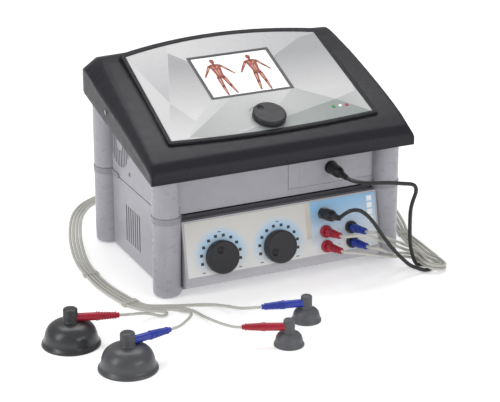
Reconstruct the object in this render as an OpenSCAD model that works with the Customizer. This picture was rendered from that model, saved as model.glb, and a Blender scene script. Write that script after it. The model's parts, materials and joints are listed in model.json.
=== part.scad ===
// Electrotherapy console on a vacuum unit, with four suction-cup electrodes.
// Millimetres. X to the right, Y to the back, Z up. The origin is on the floor,
// at the centre of the rectangle made by the four corner columns.

/* [Body] */
// Half the spacing of the corner columns, left to right
column_dx = 165; // [160:1:170]
// Half the spacing of the corner columns, front to back
column_dy = 108; // [104:1:112]
// Radius of a corner column
column_r = 19.5; // [18.5:0.5:20]
// Height of the joint between the lower and the upper unit
joint_z = 110; // [108:1:112]
// Thickness of the moulded walls
wall = 3; // [2.5:0.5:3.5]

/* [Display lid] */
// Half the width of the lid
lid_half_w = 196; // [192:1:200]
// Slope of the lid's lower edge, degrees
lid_slope = 12.5; // [12:0.5:13]
// Slope of the printed faceplate, degrees
plate_tilt = 20.9; // [20.5:0.1:21.5]
// Length of the faceplate up its slope, at its sides
plate_len = 187; // [180:1:190]
// Width of the display's visible area
display_w = 117; // [100:1:120]
// Height of the display's visible area
display_h = 88; // [70:1:92]
// Radius of the jog dial
jog_r = 23.5; // [20:0.5:24.5]

/* [Vacuum panel] */
// Lean of the lower front panel, degrees
nose_tilt = 12; // [10:0.5:13]
// Half the width of the lower front panel
nose_half_w = 147; // [144:1:148]
// Radius of the two setting knobs
knob_r = 23; // [20:0.5:24]
// Height of the two setting knobs
knob_h = 11; // [9:0.5:13]

/* [Electrodes] */
// Outside radius of the rim of a large cup
large_cup_r = 38.5; // [36:0.5:40]
// Height of a large cup
large_cup_h = 50; // [48:1:52]
// Outside radius of the rim of a small cup
small_cup_r = 19.8; // [18.8:0.2:20.4]
// Height of a small cup
small_cup_h = 36; // [35:1:38]
// Diameter of an electrode hose
hose_d = 4; // [3.6:0.1:4.1]
// Diameter of the link cable
cable_d = 5.4; // [4.6:0.2:5.6]

/* [Hidden] */
$fn = 64;

// Clearance used to run one cut past another
eps = 0.5;
// Thickness of sheet-metal walls
sheet = 2;
// Radial play of a turning or sliding fit
play = 0.05;

// ---- Columns: the foot and the bore above it, outwards from the column's axis
foot_at = 6;
foot_r = 6;
column_bore_r = 4.5;

// ---- Casing levels
collar_low = 106.4;
collar_top = 116.8;
case_floor = 2.4;
lower_top = joint_z - 0.6;
upper_floor = joint_z + 0.8;
front_seam = 112.8;

// ---- Lid: front edge, and the plane of its lower edge
lid_front_y = -135;
lid_back_y = 131.5;
lid_low_front = 170;
lid_shell = 3.5;
base_rise = 4;
base_t = 3;
function lid_low(y) = lid_low_front + (y - lid_front_y) * tan(lid_slope);
// Underside and top of the lid base at a given y
function base_low(y) = lid_low(y) + base_rise;
function base_top(y) = base_low(y) + base_t;

// ---- Faceplate plane
plate_front_y = -96.3;
plate_front_z = 213.4;
plate_t = 1.2;
plate_half_front = 151;
plate_half_back = 146;
plate_bow = 7;
plate_arch = 20;
rim_w = 5;
rim_top_w = 7;
bezel_floor = 2.2;
jog_s = 18.5;
display_s = 119;
light_x = [100, 110, 120];
light_s = 20.5;

// ---- Sloped front of the vacuum unit
nose_top_y = -116.6;
nose_top_z = 104.6;
nose_floor = 10;
nose_lip_r = 12;
overlay_t = 0.5;
knob_x = [-94, -7.5];
knob_s = 55;
link_socket_at = [65, 21.5];
red_socket_at = [[65, 46.5], [65, 67.5]];
blue_socket_at = [[104, 46.5], [104, 67.5]];
socket_r = 7.4;
socket_collar_r = 8.6;
socket_collar_h = 6;
control_socket_at = [81, 145.4];
cover_proud = 0.4;

// ---- Plugs, along their own axis from the mating face outwards
plug_pin_r = 2;
plug_pin_l = 11;
plug_barrel_r = 5.3;
plug_barrel_l = 26;
plug_collar_r = 6.2;
plug_len = 56;
plug_in_socket = 10;
hose_bore_depth = 6;
// Height above the sloped front at which a hose leaves its plug
hose_exit = plug_len - plug_in_socket - hose_bore_depth;
link_plug_r = 7.6;
link_plug_l = 36;
link_relief_l = 10;
link_flange = 1.2;

// ---- Rear switch: pivot of its rocker
rocker_axis = [100, 104, 166];
rocker_pin_r = 1.5;

// ---- Fan and vents
fan_at = [60, 163];
fan_hole = 71.5;
vent_y = 14;
vent_z = 51;

// ---- Suction cups: centre on the floor, direction of the plug, size
large_plug_z = 36.5;
small_plug_z = 25;
front_large_at = [-296, -295, 9.4];
left_large_at = [-336, -198, -18];
front_small_at = [-84, -318, 156.5];
rear_small_at = [-31, -261, 168.5];
large_stem_r = 9.5;
small_stem_r = 7.5;
plug_in_cup = 3;

// ---- Cord routes. Height of a hose lying on the floor, closest spacing of hoses side by side
hose_z = 2.3;
lane = 4.3;

// Middle of the four hoses from the turn beside the device, round its back, to the clip
// beside the cups; the fourth number is their spacing there
ribbon = [
    [219, -138, hose_z, 7], [222, -105, hose_z, 6.2], [228, -60, hose_z, lane], [239, -20, hose_z, 6],
    [253, 28, hose_z, 6], [263, 75, hose_z, 5], [263, 128, hose_z, lane], [245, 180, hose_z, lane],
    [211, 222, hose_z, lane], [162, 252, hose_z, lane], [100, 271, hose_z, lane], [30, 280, hose_z, lane],
    [-40, 279, hose_z, lane], [-95, 270, hose_z, lane], [-134, 255, hose_z, 4.6],
    [-162, 231, hose_z, 4.8], [-187, 190, hose_z, 5], [-214, 118, hose_z, 5.2],
    [-232, 47, hose_z, 5.2], [-237, -6, hose_z, 5], [-235, -60, hose_z, 5.4],
    [-223, -118, hose_z, 5.6]
];
clip_at = [2, 19, 21];
// Where each hose turns back beside the device: arcs round one point, two above two
turn_at = [205, -185];
turn_inner = 11;
turn_outer = 16.5;
plug_bend_r = 10.5;
function turn(r, z_from, z_to) = [for (i = [0:4])
    [turn_at[0] + r * cos(190 + 42 * i), turn_at[1] + r * sin(190 + 42 * i), z_from + (z_to - z_from) * i / 4]];
// Bend to the right on leaving a panel plug
function plug_bend(at_socket, rise) = [for (a = [45, 90])
    panel_lead(at_socket)
    + [plug_bend_r * (1 - cos(a)), -plug_bend_r * sin(a), rise * a / 90]];
// From each panel plug, round the turn, to the side-by-side run
hose_rear_small_start = concat(
    plug_bend(blue_socket_at[0], 1), [[124, -180, 63], [142, -171, 51], [160, -162, 40],
        [176, -157, 30], [188, -157, 24.5], [194, -163, 20], [194.5, -173, 16]],
    turn(turn_inner, 14, 7), [[214, -171, 7], [211.5, -156, 4.8]]);
hose_front_small_start = concat(
    plug_bend(red_socket_at[0], 2), [[85, -185.5, 71], [99, -185, 68], [114, -182.5, 60], [133, -175, 49],
        [152, -166, 38], [176, -158, 23.5], [188, -157, 18.5], [194, -163, 14.5], [194.5, -173, 11]],
    turn(turn_inner, 9.4, hose_z), [[217, -171, hose_z], [217.2, -155, hose_z]]);
hose_front_large_start = concat(
    plug_bend(blue_socket_at[1], 0), [[124, -183, 41.5], [140, -176.5, 33], [155, -169.5, 27],
        [170, -164.5, 22.3], [181, -163, 18.3], [187.5, -167.5, 15.8], [188.7, -177, 14.1]],
    turn(turn_outer, 13.8, 7), [[222.5, -171, 7], [223.5, -156, 4.4]]);
hose_left_large_start = concat(
    plug_bend(red_socket_at[1], 0), [[85, -189.5, 46.8], [100, -189, 42.5], [120, -184, 34.5], [140, -177.5, 27.5],
        [156, -170.5, 21.8], [170, -165, 17.3], [181, -163.7, 13.4], [187.5, -168, 11.2],
        [188.7, -177.5, 9.7]],
    turn(turn_outer, 9.4, hose_z), [[225, -169, hose_z], [229, -153, hose_z]]);
// From the last clip to each cup
hose_rear_small_end = [[-205, -136, hose_z], [-189, -144.5, hose_z], [-170, -152.5, hose_z],
    [-149, -160, hose_z], [-127, -172, 3.5], [-115, -191, 7], [-111, -212, 12.5], [-108, -230, 18.5]];
hose_front_small_end = [[-208, -140, hose_z], [-191, -149, hose_z], [-173, -157, hose_z],
    [-158, -174, hose_z], [-152, -202, 3.5], [-150, -231, 9], [-151, -258, 16.5], [-151, -278, 22.5]];
hose_front_large_end = [[-211, -144, hose_z], [-194, -153.5, hose_z], [-180, -160, hose_z],
    [-171, -170, hose_z], [-166, -182, 4.5], [-168, -196, 9], [-175, -213, 14.5], [-187, -233, 20.5],
    [-203, -256, 27.5], [-214, -272, 33]];
hose_left_large_end = [[-214, -148, hose_z], [-197, -158.5, hose_z], [-190.6, -164, hose_z],
    [-191.5, -171.5, hose_z], [-197.5, -175.5, hose_z], [-204, -174, 2.8], [-212, -169, 5],
    [-223, -170, 8.5], [-236, -178, 14], [-249, -191, 21], [-257, -206, 29], [-262.5, -216.5, 34.5]];
// Link cable, from the control socket to the floor and back up to the vacuum unit
cable_z = 2.9;
cable_route = [
    [84, -163, 144], [92, -174, 143.5], [104, -182, 143.5], [126, -188, 142.5], [150, -190, 138],
    [162, -190, 135.5], [169, -189.5, 131.5], [171.5, -188, 122], [169, -185.5, 111],
    [167.5, -181, 92], [169.5, -177.5, 60], [173, -174.5, 36], [179.5, -173, 14.5], [185, -172.5, 5.6],
    [192, -169.5, cable_z], [200, -172.5, cable_z], [203.2, -180, cable_z],
    [200, -187.6, cable_z], [192, -190.7, cable_z], [184, -190.7, 4.5], [175, -189.7, 9],
    [163, -190, 16], [141, -189, 39], [122, -189, 64], [106, -189, 88], [94, -189, 102],
    [83, -188.5, 110], [73.5, -185, 110], [67, -177.5, 103]
];

// ---------------------------------------------------------------- helpers

// Places children on the sloped front panel: x across, s down the slope, h above it
module on_nose(x, s, h = 0) {
    translate([x, nose_top_y - s * sin(nose_tilt), nose_top_z - s * cos(nose_tilt)])
        rotate([90 - nose_tilt, 0, 0])
            translate([0, 0, h])
                children();
}
function nose_point(x, s, h) = [
    x,
    nose_top_y - s * sin(nose_tilt) - h * cos(nose_tilt),
    nose_top_z - s * cos(nose_tilt) + h * sin(nose_tilt)
];

// Places children on the faceplate's plane: x across, s up the slope, h above it
module on_plate(x, s, h = 0) {
    translate([x, plate_front_y + s * cos(plate_tilt), plate_front_z + s * sin(plate_tilt)])
        rotate([plate_tilt, 0, 0])
            translate([0, 0, h])
                children();
}

// A box given by its lowest and highest corners
module span(a, b) {
    translate(a)
        cube(b - a);
}

// The same children in all four corners, each turned to face its corner
module at_corners() {
    for (sx = [-1, 1], sy = [-1, 1])
        translate([sx * column_dx, sy * column_dy, 0])
            to_corner(sx, sy)
                children();
}
module to_corner(sx, sy) {
    mirror([sx < 0 ? 1 : 0, 0, 0])
        mirror([0, sy < 0 ? 1 : 0, 0])
            children();
}

// Everything below the underside of the lid base
module under_lid() {
    translate([0, lid_front_y, base_low(lid_front_y)])
        rotate([lid_slope, 0, 0])
            translate([-250, -60, -400])
                cube([500, 500, 400]);
}

// Screw head with a cross recess, standing on Z
module screw_head(r, h) {
    difference() {
        cylinder(r = r, h = h);
        for (a = [0, 90])
            rotate([0, 0, a])
                translate([-r * 0.6, -0.35, h * 0.45])
                    cube([r * 1.2, 0.7, h]);
    }
}

// ---- Swept tubes

// Catmull-Rom point between p1 and p2
function blend(p0, p1, p2, p3, t) =
    0.5 * (2 * p1 + (p2 - p0) * t + (2 * p0 - 5 * p1 + 4 * p2 - p3) * t * t
    + (3 * p1 - p0 - 3 * p2 + p3) * t * t * t);
function at(route, i) = route[max(0, min(len(route) - 1, i))];
// A smooth line through a route, with more points on its longer stretches
ring_gap = 24;
function steps(a, b) = max(1, round(norm(b - a) / ring_gap));
function smooth(route) = concat(
    [for (i = [0:len(route) - 2]) let (n = steps(route[i], route[i + 1])) for (k = [0:n - 1])
        blend(at(route, i - 1), at(route, i), at(route, i + 1), at(route, i + 2), k / n)],
    [route[len(route) - 1]]
);
function unit(v) = v / norm(v);
function along(line, i) = unit(at(line, i + 1) - at(line, i - 1));
// The route moved sideways by a number of spacings, level with the floor
function beside(line, lanes) = [for (i = [0:len(line) - 1])
    let (d = along([for (p = line) [p[0], p[1], p[2]]], i), n = unit([-d[1], d[0], 0]), p = line[i])
        [p[0], p[1], p[2]] + n * lanes * p[3]];
// Side vectors carried along the line without twist, from side n at its start
function frames(line, i, n, found) =
    i == len(line) ? found
    : let (d = along(line, i), m = unit(n - d * (n * d))) frames(line, i + 1, m, concat(found, [m]));

// A closed tube along a line, with square ends
module tube(line, d, sides = 8) {
    first = along(line, 0);
    start = unit(cross(first, abs(first[2]) < 0.9 ? [0, 0, 1] : [1, 0, 0]));
    side = frames(line, 0, start, []);
    count = len(line);
    rings = [for (i = [0:count - 1], k = [0:sides - 1])
        let (t = along(line, i), u = side[i], v = cross(t, u), a = 360 * k / sides)
            line[i] + d / 2 * (cos(a) * u + sin(a) * v)];
    walls = [for (i = [0:count - 2], k = [0:sides - 1])
        let (a = i * sides + k, b = i * sides + (k + 1) % sides) [a, a + sides, b + sides, b]];
    ends = [[for (k = [0:sides - 1]) k], [for (k = [sides - 1:-1:0]) (count - 1) * sides + k]];
    polyhedron(rings, concat(walls, ends));
}

// Where a hose meets its plug on the panel and at a cup, and the direction it leaves in
function panel_exit(at_socket) = nose_point(at_socket[0], at_socket[1], hose_exit);
function panel_lead(at_socket) = nose_point(at_socket[0], at_socket[1], hose_exit + 7);
function cup_point(cup, z, r) = [cup[0] + r * cos(cup[2]), cup[1] + r * sin(cup[2]), z];
function cup_exit_r(stem_r) = stem_r - plug_in_cup + plug_len - hose_bore_depth;

// The whole line of one hose: plug, run to the turn, ribbon, run to the cup, plug
function hose_line(socket, start, lanes, end, cup, z, stem_r) = concat(
    smooth(concat(
        [panel_exit(socket), panel_lead(socket)], start,
        beside(ribbon, lanes), end,
        [cup_point(cup, z, cup_exit_r(stem_r) + 14), cup_point(cup, z, cup_exit_r(stem_r))]))
);

// ---------------------------------------------------------------- casings

// One corner column: round outside, notched for the corner of the cases, hollow at its outer side
module column_profile() {
    difference() {
        circle(r = column_r);
        translate([-30, -30])
            square(30);
        translate([foot_at, foot_at])
            circle(r = column_bore_r);
    }
}

module lower_columns() {
    edge = 4.5;
    color("#a3a2a8")
        at_corners()
            difference() {
                translate([0, 0, 1])
                    intersection() {
                        linear_extrude(collar_low - 1)
                            column_profile();
                        rotate_extrude($fn = 96)
                            union() {
                                square([column_r - edge, collar_low - 1]);
                                translate([0, edge])
                                    square([column_r, collar_low - 1 - edge]);
                                translate([column_r - edge, edge])
                                    circle(r = edge);
                            }
                    }
                translate([foot_at, foot_at, 0])
                    cylinder(r = foot_r, h = 3);
            }
}

module rubber_feet() {
    color("#2c2c2f")
        at_corners()
            translate([foot_at, foot_at, 0])
                union() {
                    cylinder(r = foot_r, h = 3);
                    cylinder(r = column_bore_r, h = 9);
                }
}

// Bulged band between a lower and an upper column, with a tab along the case side
module stacking_collars() {
    band_h = collar_top - collar_low;
    bulge = 0.9;
    tab_len = 24;
    color("#adacb1")
        at_corners()
            difference() {
                union() {
                    translate([0, 0, collar_low])
                        rotate_extrude($fn = 96)
                            union() {
                                square([column_r, band_h]);
                                translate([0, 1.2])
                                    square([column_r + bulge, band_h - 2.4]);
                            }
                    span([0, -column_r - tab_len, collar_low + 2.2], [1.8, -10, collar_top - 2]);
                }
                span([-30, -60, 0], [0, 0, 200]);
                translate([foot_at, foot_at, 0])
                    cylinder(r = column_bore_r, h = 200);
            }
}

module upper_columns() {
    color("#a3a2a8")
        intersection() {
            at_corners()
                translate([0, 0, collar_top])
                    linear_extrude(120)
                        column_profile();
            under_lid();
        }
}

// Row of upright slots through a side wall
module vent_row(side) {
    count = 7;
    pitch = 8.1;
    slot_w = 3.6;
    slot_h = 54;
    for (i = [0:count - 1])
        translate([side * column_dx, vent_y + (i - (count - 1) / 2) * pitch, vent_z])
            translate([-5, -slot_w / 2, -slot_h / 2])
                cube([10, slot_w, slot_h]);
}

module vacuum_case() {
    color("#a9a8ad")
        difference() {
            union() {
                span([-column_dx, -column_dy, case_floor], [column_dx, column_dy, case_floor + sheet]);
                for (side = [-1, 1])
                    translate([side * (column_dx - sheet / 2), 0, (case_floor + lower_top) / 2])
                        cube([sheet, 2 * column_dy, lower_top - case_floor], center = true);
                // Front returns beside the sloped front, and the lip under it
                for (side = [-1, 1])
                    translate([side * (nose_half_w + column_dx) / 2, sheet / 2 - column_dy, lower_top / 2 + 1])
                        cube([column_dx - nose_half_w, sheet, lower_top - 4], center = true);
                span([-nose_half_w, -column_dy, case_floor], [nose_half_w, -column_dy + sheet, nose_floor]);
            }
            vent_row(-1);
            vent_row(1);
        }
}

module vacuum_cover() {
    inner = column_dx - sheet;
    color("#8f8e94")
        union() {
            span([-inner, -column_dy + 4, lower_top - sheet], [inner, column_dy - sheet, lower_top]);
            span([-inner, -column_dy + 2, nose_top_z], [inner, -column_dy + 4, lower_top]);
        }
}

module vacuum_rear_panel() {
    inner = column_dx - sheet;
    color("#a9a8ad")
        difference() {
            span([-inner, column_dy - sheet, case_floor + sheet], [inner, column_dy, lower_top]);
            for (i = [0:8])
                span([-80 + i * 9, column_dy - 5, 40], [-76 + i * 9, column_dy + 5, 80]);
        }
}

// Side view of the sloped front: x is distance forward, y is height; grow moves it inwards
lip_s = (nose_top_z - nose_floor - nose_lip_r - nose_lip_r * sin(nose_tilt)) / cos(nose_tilt);
lip_y = -nose_top_y + lip_s * sin(nose_tilt) - nose_lip_r * cos(nose_tilt);
lip_z = nose_floor + nose_lip_r;
nose_back = column_dy - 4;
function nose_outline(inset) = concat(
    [[nose_back - eps, nose_top_z - inset], [-nose_top_y - inset, nose_top_z - inset]],
    [for (a = [nose_tilt:-(90 + nose_tilt) / 10:-90])
        [lip_y + (nose_lip_r - inset) * cos(a), lip_z + (nose_lip_r - inset) * sin(a)]],
    [[nose_back - eps, nose_floor + inset]]
);
module nose_solid(inset, half_w) {
    rotate([90, 0, -90])
        translate([0, 0, -half_w])
            linear_extrude(2 * half_w)
                polygon(nose_outline(inset));
}

module vacuum_front() {
    color("#b5b4b8")
        difference() {
            nose_solid(0, nose_half_w);
            difference() {
                nose_solid(wall, nose_half_w - wall);
                // Bosses behind the sockets
                for (p = concat(red_socket_at, blue_socket_at))
                    on_nose(p[0], p[1], -14)
                        cylinder(r = socket_r + 2, h = 12);
            }
            span([-nose_half_w + wall, -nose_back - eps, nose_floor + wall],
                [nose_half_w - wall, -nose_back + 5, nose_top_z - wall]);
            // Hollow corners that clear the front columns
            for (side = [-1, 1])
                translate([side * column_dx, -column_dy, 0])
                    cylinder(r = column_r + 0.4, h = 200);
            // Groove behind the top edge
            span([-200, nose_top_y + 3, nose_top_z - 1], [200, nose_top_y + 4.6, nose_top_z + 1]);
            for (x = knob_x)
                on_nose(x, knob_s, -10)
                    cylinder(r = 4.5, h = 20);
            for (p = concat(red_socket_at, blue_socket_at))
                on_nose(p[0], p[1], -32)
                    cylinder(r = socket_r, h = 42);
            on_nose(link_socket_at[0], link_socket_at[1], -20)
                cylinder(r = 8, h = 40);
        }
}

module front_overlay() {
    side_gap = 3;
    top_gap = 2.5;
    bottom = 78;
    color("#c9c8c6")
        difference() {
            on_nose(0, 0)
                span([-nose_half_w + side_gap, -bottom, 0], [nose_half_w - side_gap, -top_gap, overlay_t]);
            for (x = knob_x)
                on_nose(x, knob_s, -2)
                    cylinder(r = 4.5, h = 6);
            for (p = concat(red_socket_at, blue_socket_at))
                on_nose(p[0], p[1], -2)
                    cylinder(r = socket_collar_r + 0.2, h = 6);
            on_nose(link_socket_at[0], link_socket_at[1], -2)
                cylinder(r = 9.9, h = 6);
        }
}

// ---------------------------------------------------------------- vacuum unit controls

module knob(angle) {
    edge = 3;
    skirt = 1;
    color("#47464a")
        difference() {
            rotate_extrude($fn = 96)
                union() {
                    square([knob_r - edge, knob_h]);
                    square([knob_r, knob_h - edge]);
                    translate([knob_r - edge, knob_h - edge])
                        circle(r = edge, $fn = 48);
                }
            translate([0, 0, -1])
                cylinder(r = knob_r - 2.5, h = 3);
            // Finger dimple
            rotate([0, 0, angle])
                translate([0, 12, knob_h + 3.4])
                    sphere(r = 6.4, $fn = 48);
        }
    // Spindle pressed into the knob
    color("#8a8a8c")
        translate([0, 0, -16])
            cylinder(r = 3, h = 20);
}

module left_knob() {
    on_nose(knob_x[0], knob_s, 1.5)
        knob(21);
}

module right_knob() {
    on_nose(knob_x[1], knob_s, 1.5)
        knob(117);
}

module potentiometer() {
    color("#6d6f52")
        difference() {
            union() {
                translate([0, 0, -20])
                    cylinder(r = 10, h = 14);
                translate([0, 0, -8])
                    cylinder(r = 4.5, h = 7.5);
                translate([-10, -24, -20])
                    cube([20, 16, 2]);
            }
            translate([0, 0, -17])
                cylinder(r = 3 + play, h = 30);
        }
}

module left_potentiometer() {
    on_nose(knob_x[0], knob_s)
        potentiometer();
}

module right_potentiometer() {
    on_nose(knob_x[1], knob_s)
        potentiometer();
}

// Round socket for a link plug: flange, barrel and the plug's bore
module round_socket(flange_r, flange_h, depth) {
    difference() {
        union() {
            cylinder(r = flange_r, h = flange_h);
            translate([0, 0, -depth])
                cylinder(r = 7.9, h = depth);
        }
        translate([0, 0, 2 - depth])
            cylinder(r = 6.2, h = depth + 10);
    }
}

module link_socket() {
    color("#c8c8ca")
        on_nose(link_socket_at[0], link_socket_at[1])
            round_socket(9.6, link_flange, 14);
}

module control_socket() {
    color("#303033")
        translate([control_socket_at[0], -column_dy - cover_proud, control_socket_at[1]])
            rotate([90, 0, 0])
                round_socket(9.6, link_flange, 14);
}

// Socket for one hose plug: collar outside the panel and a bore for barrel and pin
module hose_socket() {
    difference() {
        union() {
            translate([0, 0, -30])
                cylinder(r = socket_r, h = 31);
            rotate_extrude()
                polygon([[0, 0], [socket_collar_r, 0], [socket_collar_r, socket_collar_h - 1.5],
                    [socket_collar_r - 1.5, socket_collar_h], [0, socket_collar_h]]);
        }
        translate([0, 0, -plug_in_socket])
            cylinder(r = plug_barrel_r + play, h = 40);
        translate([0, 0, -plug_in_socket - plug_pin_l - 1])
            cylinder(r = plug_pin_r + play, h = 20);
    }
}

module red_sockets() {
    color("#a3182c")
        for (p = red_socket_at)
            on_nose(p[0], p[1])
                hose_socket();
}

module blue_sockets() {
    color("#15172a")
        for (p = blue_socket_at)
            on_nose(p[0], p[1])
                hose_socket();
}

// ---------------------------------------------------------------- inside the vacuum unit

module vacuum_board() {
    color("#2f6b3a")
        union() {
            span([-130, -60, 12], [-20, 60, 13.6]);
            for (i = [0:3])
                translate([-116 + i * 26, -30, 13.6])
                    cylinder(r = 6, h = 18, $fn = 32);
            span([-120, 0, 13.6], [-70, 40, 24]);
            for (p = [[-126, -54], [-24, -54], [-126, 54], [-24, 54]])
                translate([p[0], p[1], case_floor + sheet])
                    cylinder(r = 3, h = 8, $fn = 24);
        }
}

// Linear pump: coil body with a bore for the armature
pump_at = [60, 40, 36];
module pump_body() {
    color("#6f7278")
        difference() {
            union() {
                translate(pump_at)
                    translate([-45, -26, -31.6])
                        cube([90, 52, 58]);
                for (s = [-1, 1])
                    translate(pump_at + [s * 45, 0, 0])
                        rotate([0, s * 90, 0])
                            cylinder(r = 22, h = 12);
            }
            translate(pump_at + [-53, 0, 0])
                rotate([0, 90, 0])
                    cylinder(r = 12 + play, h = 106);
        }
}

module pump_armature() {
    stroke = 3;
    color("#b9bbc0")
        translate(pump_at + [-53 + stroke, 0, 0])
            rotate([0, 90, 0])
                difference() {
                    cylinder(r = 12, h = 106 - 2 * stroke);
                    translate([0, 0, -1])
                        cylinder(r = 4, h = 120);
                }
}

// Solenoid valve that pulses the vacuum
valve_at = [60, -50, 4.4];
module valve_body() {
    color("#3c5f8f")
        difference() {
            union() {
                translate(valve_at)
                    translate([-25, -16, 0])
                        cube([50, 32, 22]);
                translate(valve_at + [0, 0, 22])
                    cylinder(r = 13, h = 26);
                for (x = [-16, 16])
                    translate(valve_at + [x, 16, 11])
                        rotate([-90, 0, 0])
                            cylinder(r = 3, h = 10);
            }
            translate(valve_at + [0, 0, 8])
                cylinder(r = 5 + play, h = 60);
        }
}

module valve_plunger() {
    color("#c4c5c9")
        translate(valve_at + [0, 0, 10.5])
            union() {
                cylinder(r = 5, h = 42);
                translate([0, 0, 42])
                    cylinder(r = 7, h = 2);
            }
}

// ---------------------------------------------------------------- upper unit casing

// Round grille of upright slots with a plain middle
module fan_grille(side) {
    grille_r = 35;
    hub_r = 11;
    pitch = 6.4;
    slot_w = 3.4;
    for (i = [-5:5]) {
        y = i * pitch;
        reach = sqrt(grille_r * grille_r - y * y);
        hub = abs(y) < hub_r ? sqrt(hub_r * hub_r - y * y) : 0;
        for (s = hub > 0 ? [-1, 1] : [0])
            translate([side * column_dx, fan_at[0] + y, fan_at[1] + s * (reach + hub) / 2])
                cube([10, slot_w, hub > 0 ? reach - hub : 2 * reach], center = true);
    }
    for (sz = [-1, 1])
        translate([side * column_dx - 5, fan_at[0] - fan_hole / 2, fan_at[1] + sz * fan_hole / 2])
            rotate([0, 90, 0])
                cylinder(r = 1.6, h = 10, $fn = 24);
}

module control_case() {
    color("#acabb0")
        intersection() {
            difference() {
                union() {
                    span([-column_dx + sheet, -column_dy + 5, upper_floor],
                        [column_dx - sheet, column_dy, upper_floor + sheet]);
                    for (side = [-1, 1])
                        translate([side * (column_dx - sheet / 2), 0, upper_floor + 70])
                            cube([sheet, 2 * column_dy, 140], center = true);
                }
                fan_grille(-1);
                for (i = [0:6])
                    span([column_dx - 5, 20 + i * 9, 140], [column_dx + 5, 24 + i * 9, 190]);
            }
            under_lid();
        }
}

module control_front_panel() {
    inner = column_dx - sheet;
    color("#b1b0b5")
        intersection() {
            difference() {
                span([-inner, -column_dy, front_seam], [inner, -column_dy + sheet, 230]);
                // Opening behind the option cover
                span([22, -column_dy - 5, 128], [140, -column_dy + 5, 160]);
                // Seat of the option cover
                span([15.4, -column_dy - 1, 122.4], [146.6, -column_dy + 0.9, 164.6]);
            }
            under_lid();
        }
}

module option_cover() {
    color("#b1b0b5")
        difference() {
            union() {
                span([16, -column_dy - cover_proud, 123], [146, -column_dy + 0.9, 164]);
                span([22.5, -column_dy + 0.9, 128.5], [139.5, -column_dy + 1.8, 159.5]);
            }
            translate([control_socket_at[0], -column_dy, control_socket_at[1]])
                rotate([90, 0, 0])
                    cylinder(r = 7.9, h = 20, center = true);
            // Shallow outlines of unused connector places
            for (x = [30, 37])
                span([x, -column_dy - 1, 130], [x + 2.4, -column_dy - 0.15, 156]);
            span([108, -column_dy - 1, 137], [134, -column_dy - 0.15, 152]);
        }
}

module control_rear_panel() {
    inner = column_dx - sheet;
    color("#acabb0")
        intersection() {
            difference() {
                span([-inner, column_dy - sheet, upper_floor + sheet], [inner, column_dy, 240]);
                span([86, column_dy - 5, 130], [114, column_dy + 5, 178]);
                for (i = [0:11])
                    span([-60 + i * 9, column_dy - 5, 150], [-56 + i * 9, column_dy + 5, 195]);
            }
            under_lid();
        }
}

// Appliance inlet with a place for the mains rocker above it
inlet_at = [100, 154];
module mains_inlet() {
    color("#1f1f21")
        translate([inlet_at[0], column_dy, inlet_at[1]])
            difference() {
                union() {
                    span([-17, 0, -27], [17, 2, 27]);
                    span([-14, -22, -24], [14, 0, 24]);
                }
                // Socket recess
                span([-12, -14, -21], [12, 6, -2]);
                // Rocker window, and the bores of the rocker's pivot
                span([-9.5, -12, 5], [9.5, 6, 19]);
                translate(rocker_axis - [inlet_at[0], column_dy, inlet_at[1]])
                    rotate([0, 90, 0])
                        cylinder(r = rocker_pin_r + play, h = 21.6, center = true);
            }
    // Three contacts
    color("#c9a34a")
        for (p = [[-6, -14.5], [6, -14.5], [0, -8.5]])
            translate([inlet_at[0] + p[0], column_dy - 14, inlet_at[1] + p[1]])
                translate([-1, 0, -2])
                    cube([2, 11, 4]);
}

module mains_rocker() {
    color("#2a2a2c")
        translate(rocker_axis)
            rotate([0, 90, 0])
                union() {
                    translate([0, 0, -9])
                        linear_extrude(18)
                            polygon([[-5.9, 0], [-5.9, 6], [0, 4.6], [5.9, 4.9], [5.9, 0], [0, -6]]);
                    cylinder(r = rocker_pin_r, h = 21, center = true);
                }
}

// ---------------------------------------------------------------- lid

// Shape of the lid along y: height of the side's upper edge, of the bevel's upper edge,
// half width at that edge, and half width of the side
side_edge = [[-135.5, 181], [-125, 188], [-119, 190.5], [-38, 217], [17, 232.5], [55, 243],
    [90, 256], [104, 259.5], [116, 259.5], [125, 254], [131.5, 244]];
top_edge = [[-135.5, 182], [-134, 185.5], [-130, 190.5], [-125, 196.2], [-105, 206.8], [-85, 215.8],
    [-65, 224], [-45, 231.7], [-5, 246.3], [35, 260.4], [75, 273.5], [88, 277], [98, 278],
    [108, 276.5], [117, 272.5], [124, 266], [129, 257.5], [131.5, 247]];
top_half = [[-135.5, 195.4], [-130, 193], [-125, 191], [-105, 190.6], [-45, 187.6], [-5, 185.6],
    [35, 182.6], [75, 178.6], [131.5, 174.5]];
side_half = [[-135.5, 196], [112, 196], [120, 194.5], [126, 191], [130, 186.5], [131.5, 183.5]];
// Rise of the middle of the top face above its edges
crown = [[-135.5, 0], [-125, 0.6], [-85, 1.6], [90, 2.4], [118, 2], [131.5, 0]];
section_y = [-135.5, -134, -130, -125, -115, -105, -95, -85, -65, -45, -20, 5, 35, 60, 75, 84, 92,
    98, 104, 110, 117, 121, 125, 129, 131.5];

// Points of one cross section, right side first; kx narrows it and drop lowers it
function lid_section(y, kx, ky, drop) =
    let (
        w = lid_half_w / 196,
        xs = lookup(y, side_half) * kx * w,
        xt = lookup(y, top_half) * kx * w,
        yy = (lid_front_y + lid_back_y) / 2 * (1 - ky) + y * ky,
        zl = lid_low(yy) - (drop > 0 ? 2 : 0),
        zs = max(zl + 1, lookup(y, side_edge) - drop),
        zt = max(zl + 1.5, lookup(y, top_edge) - drop),
        zc = max(zl + 1.5, lookup(y, top_edge) + lookup(y, crown) - drop)
    )
    [[xs, yy, zl], [xs, yy, zs], [xt, yy, zt], [xt / 2, yy, zc], [-xt / 2, yy, zc],
        [-xt, yy, zt], [-xs, yy, zs], [-xs, yy, zl]];

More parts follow.
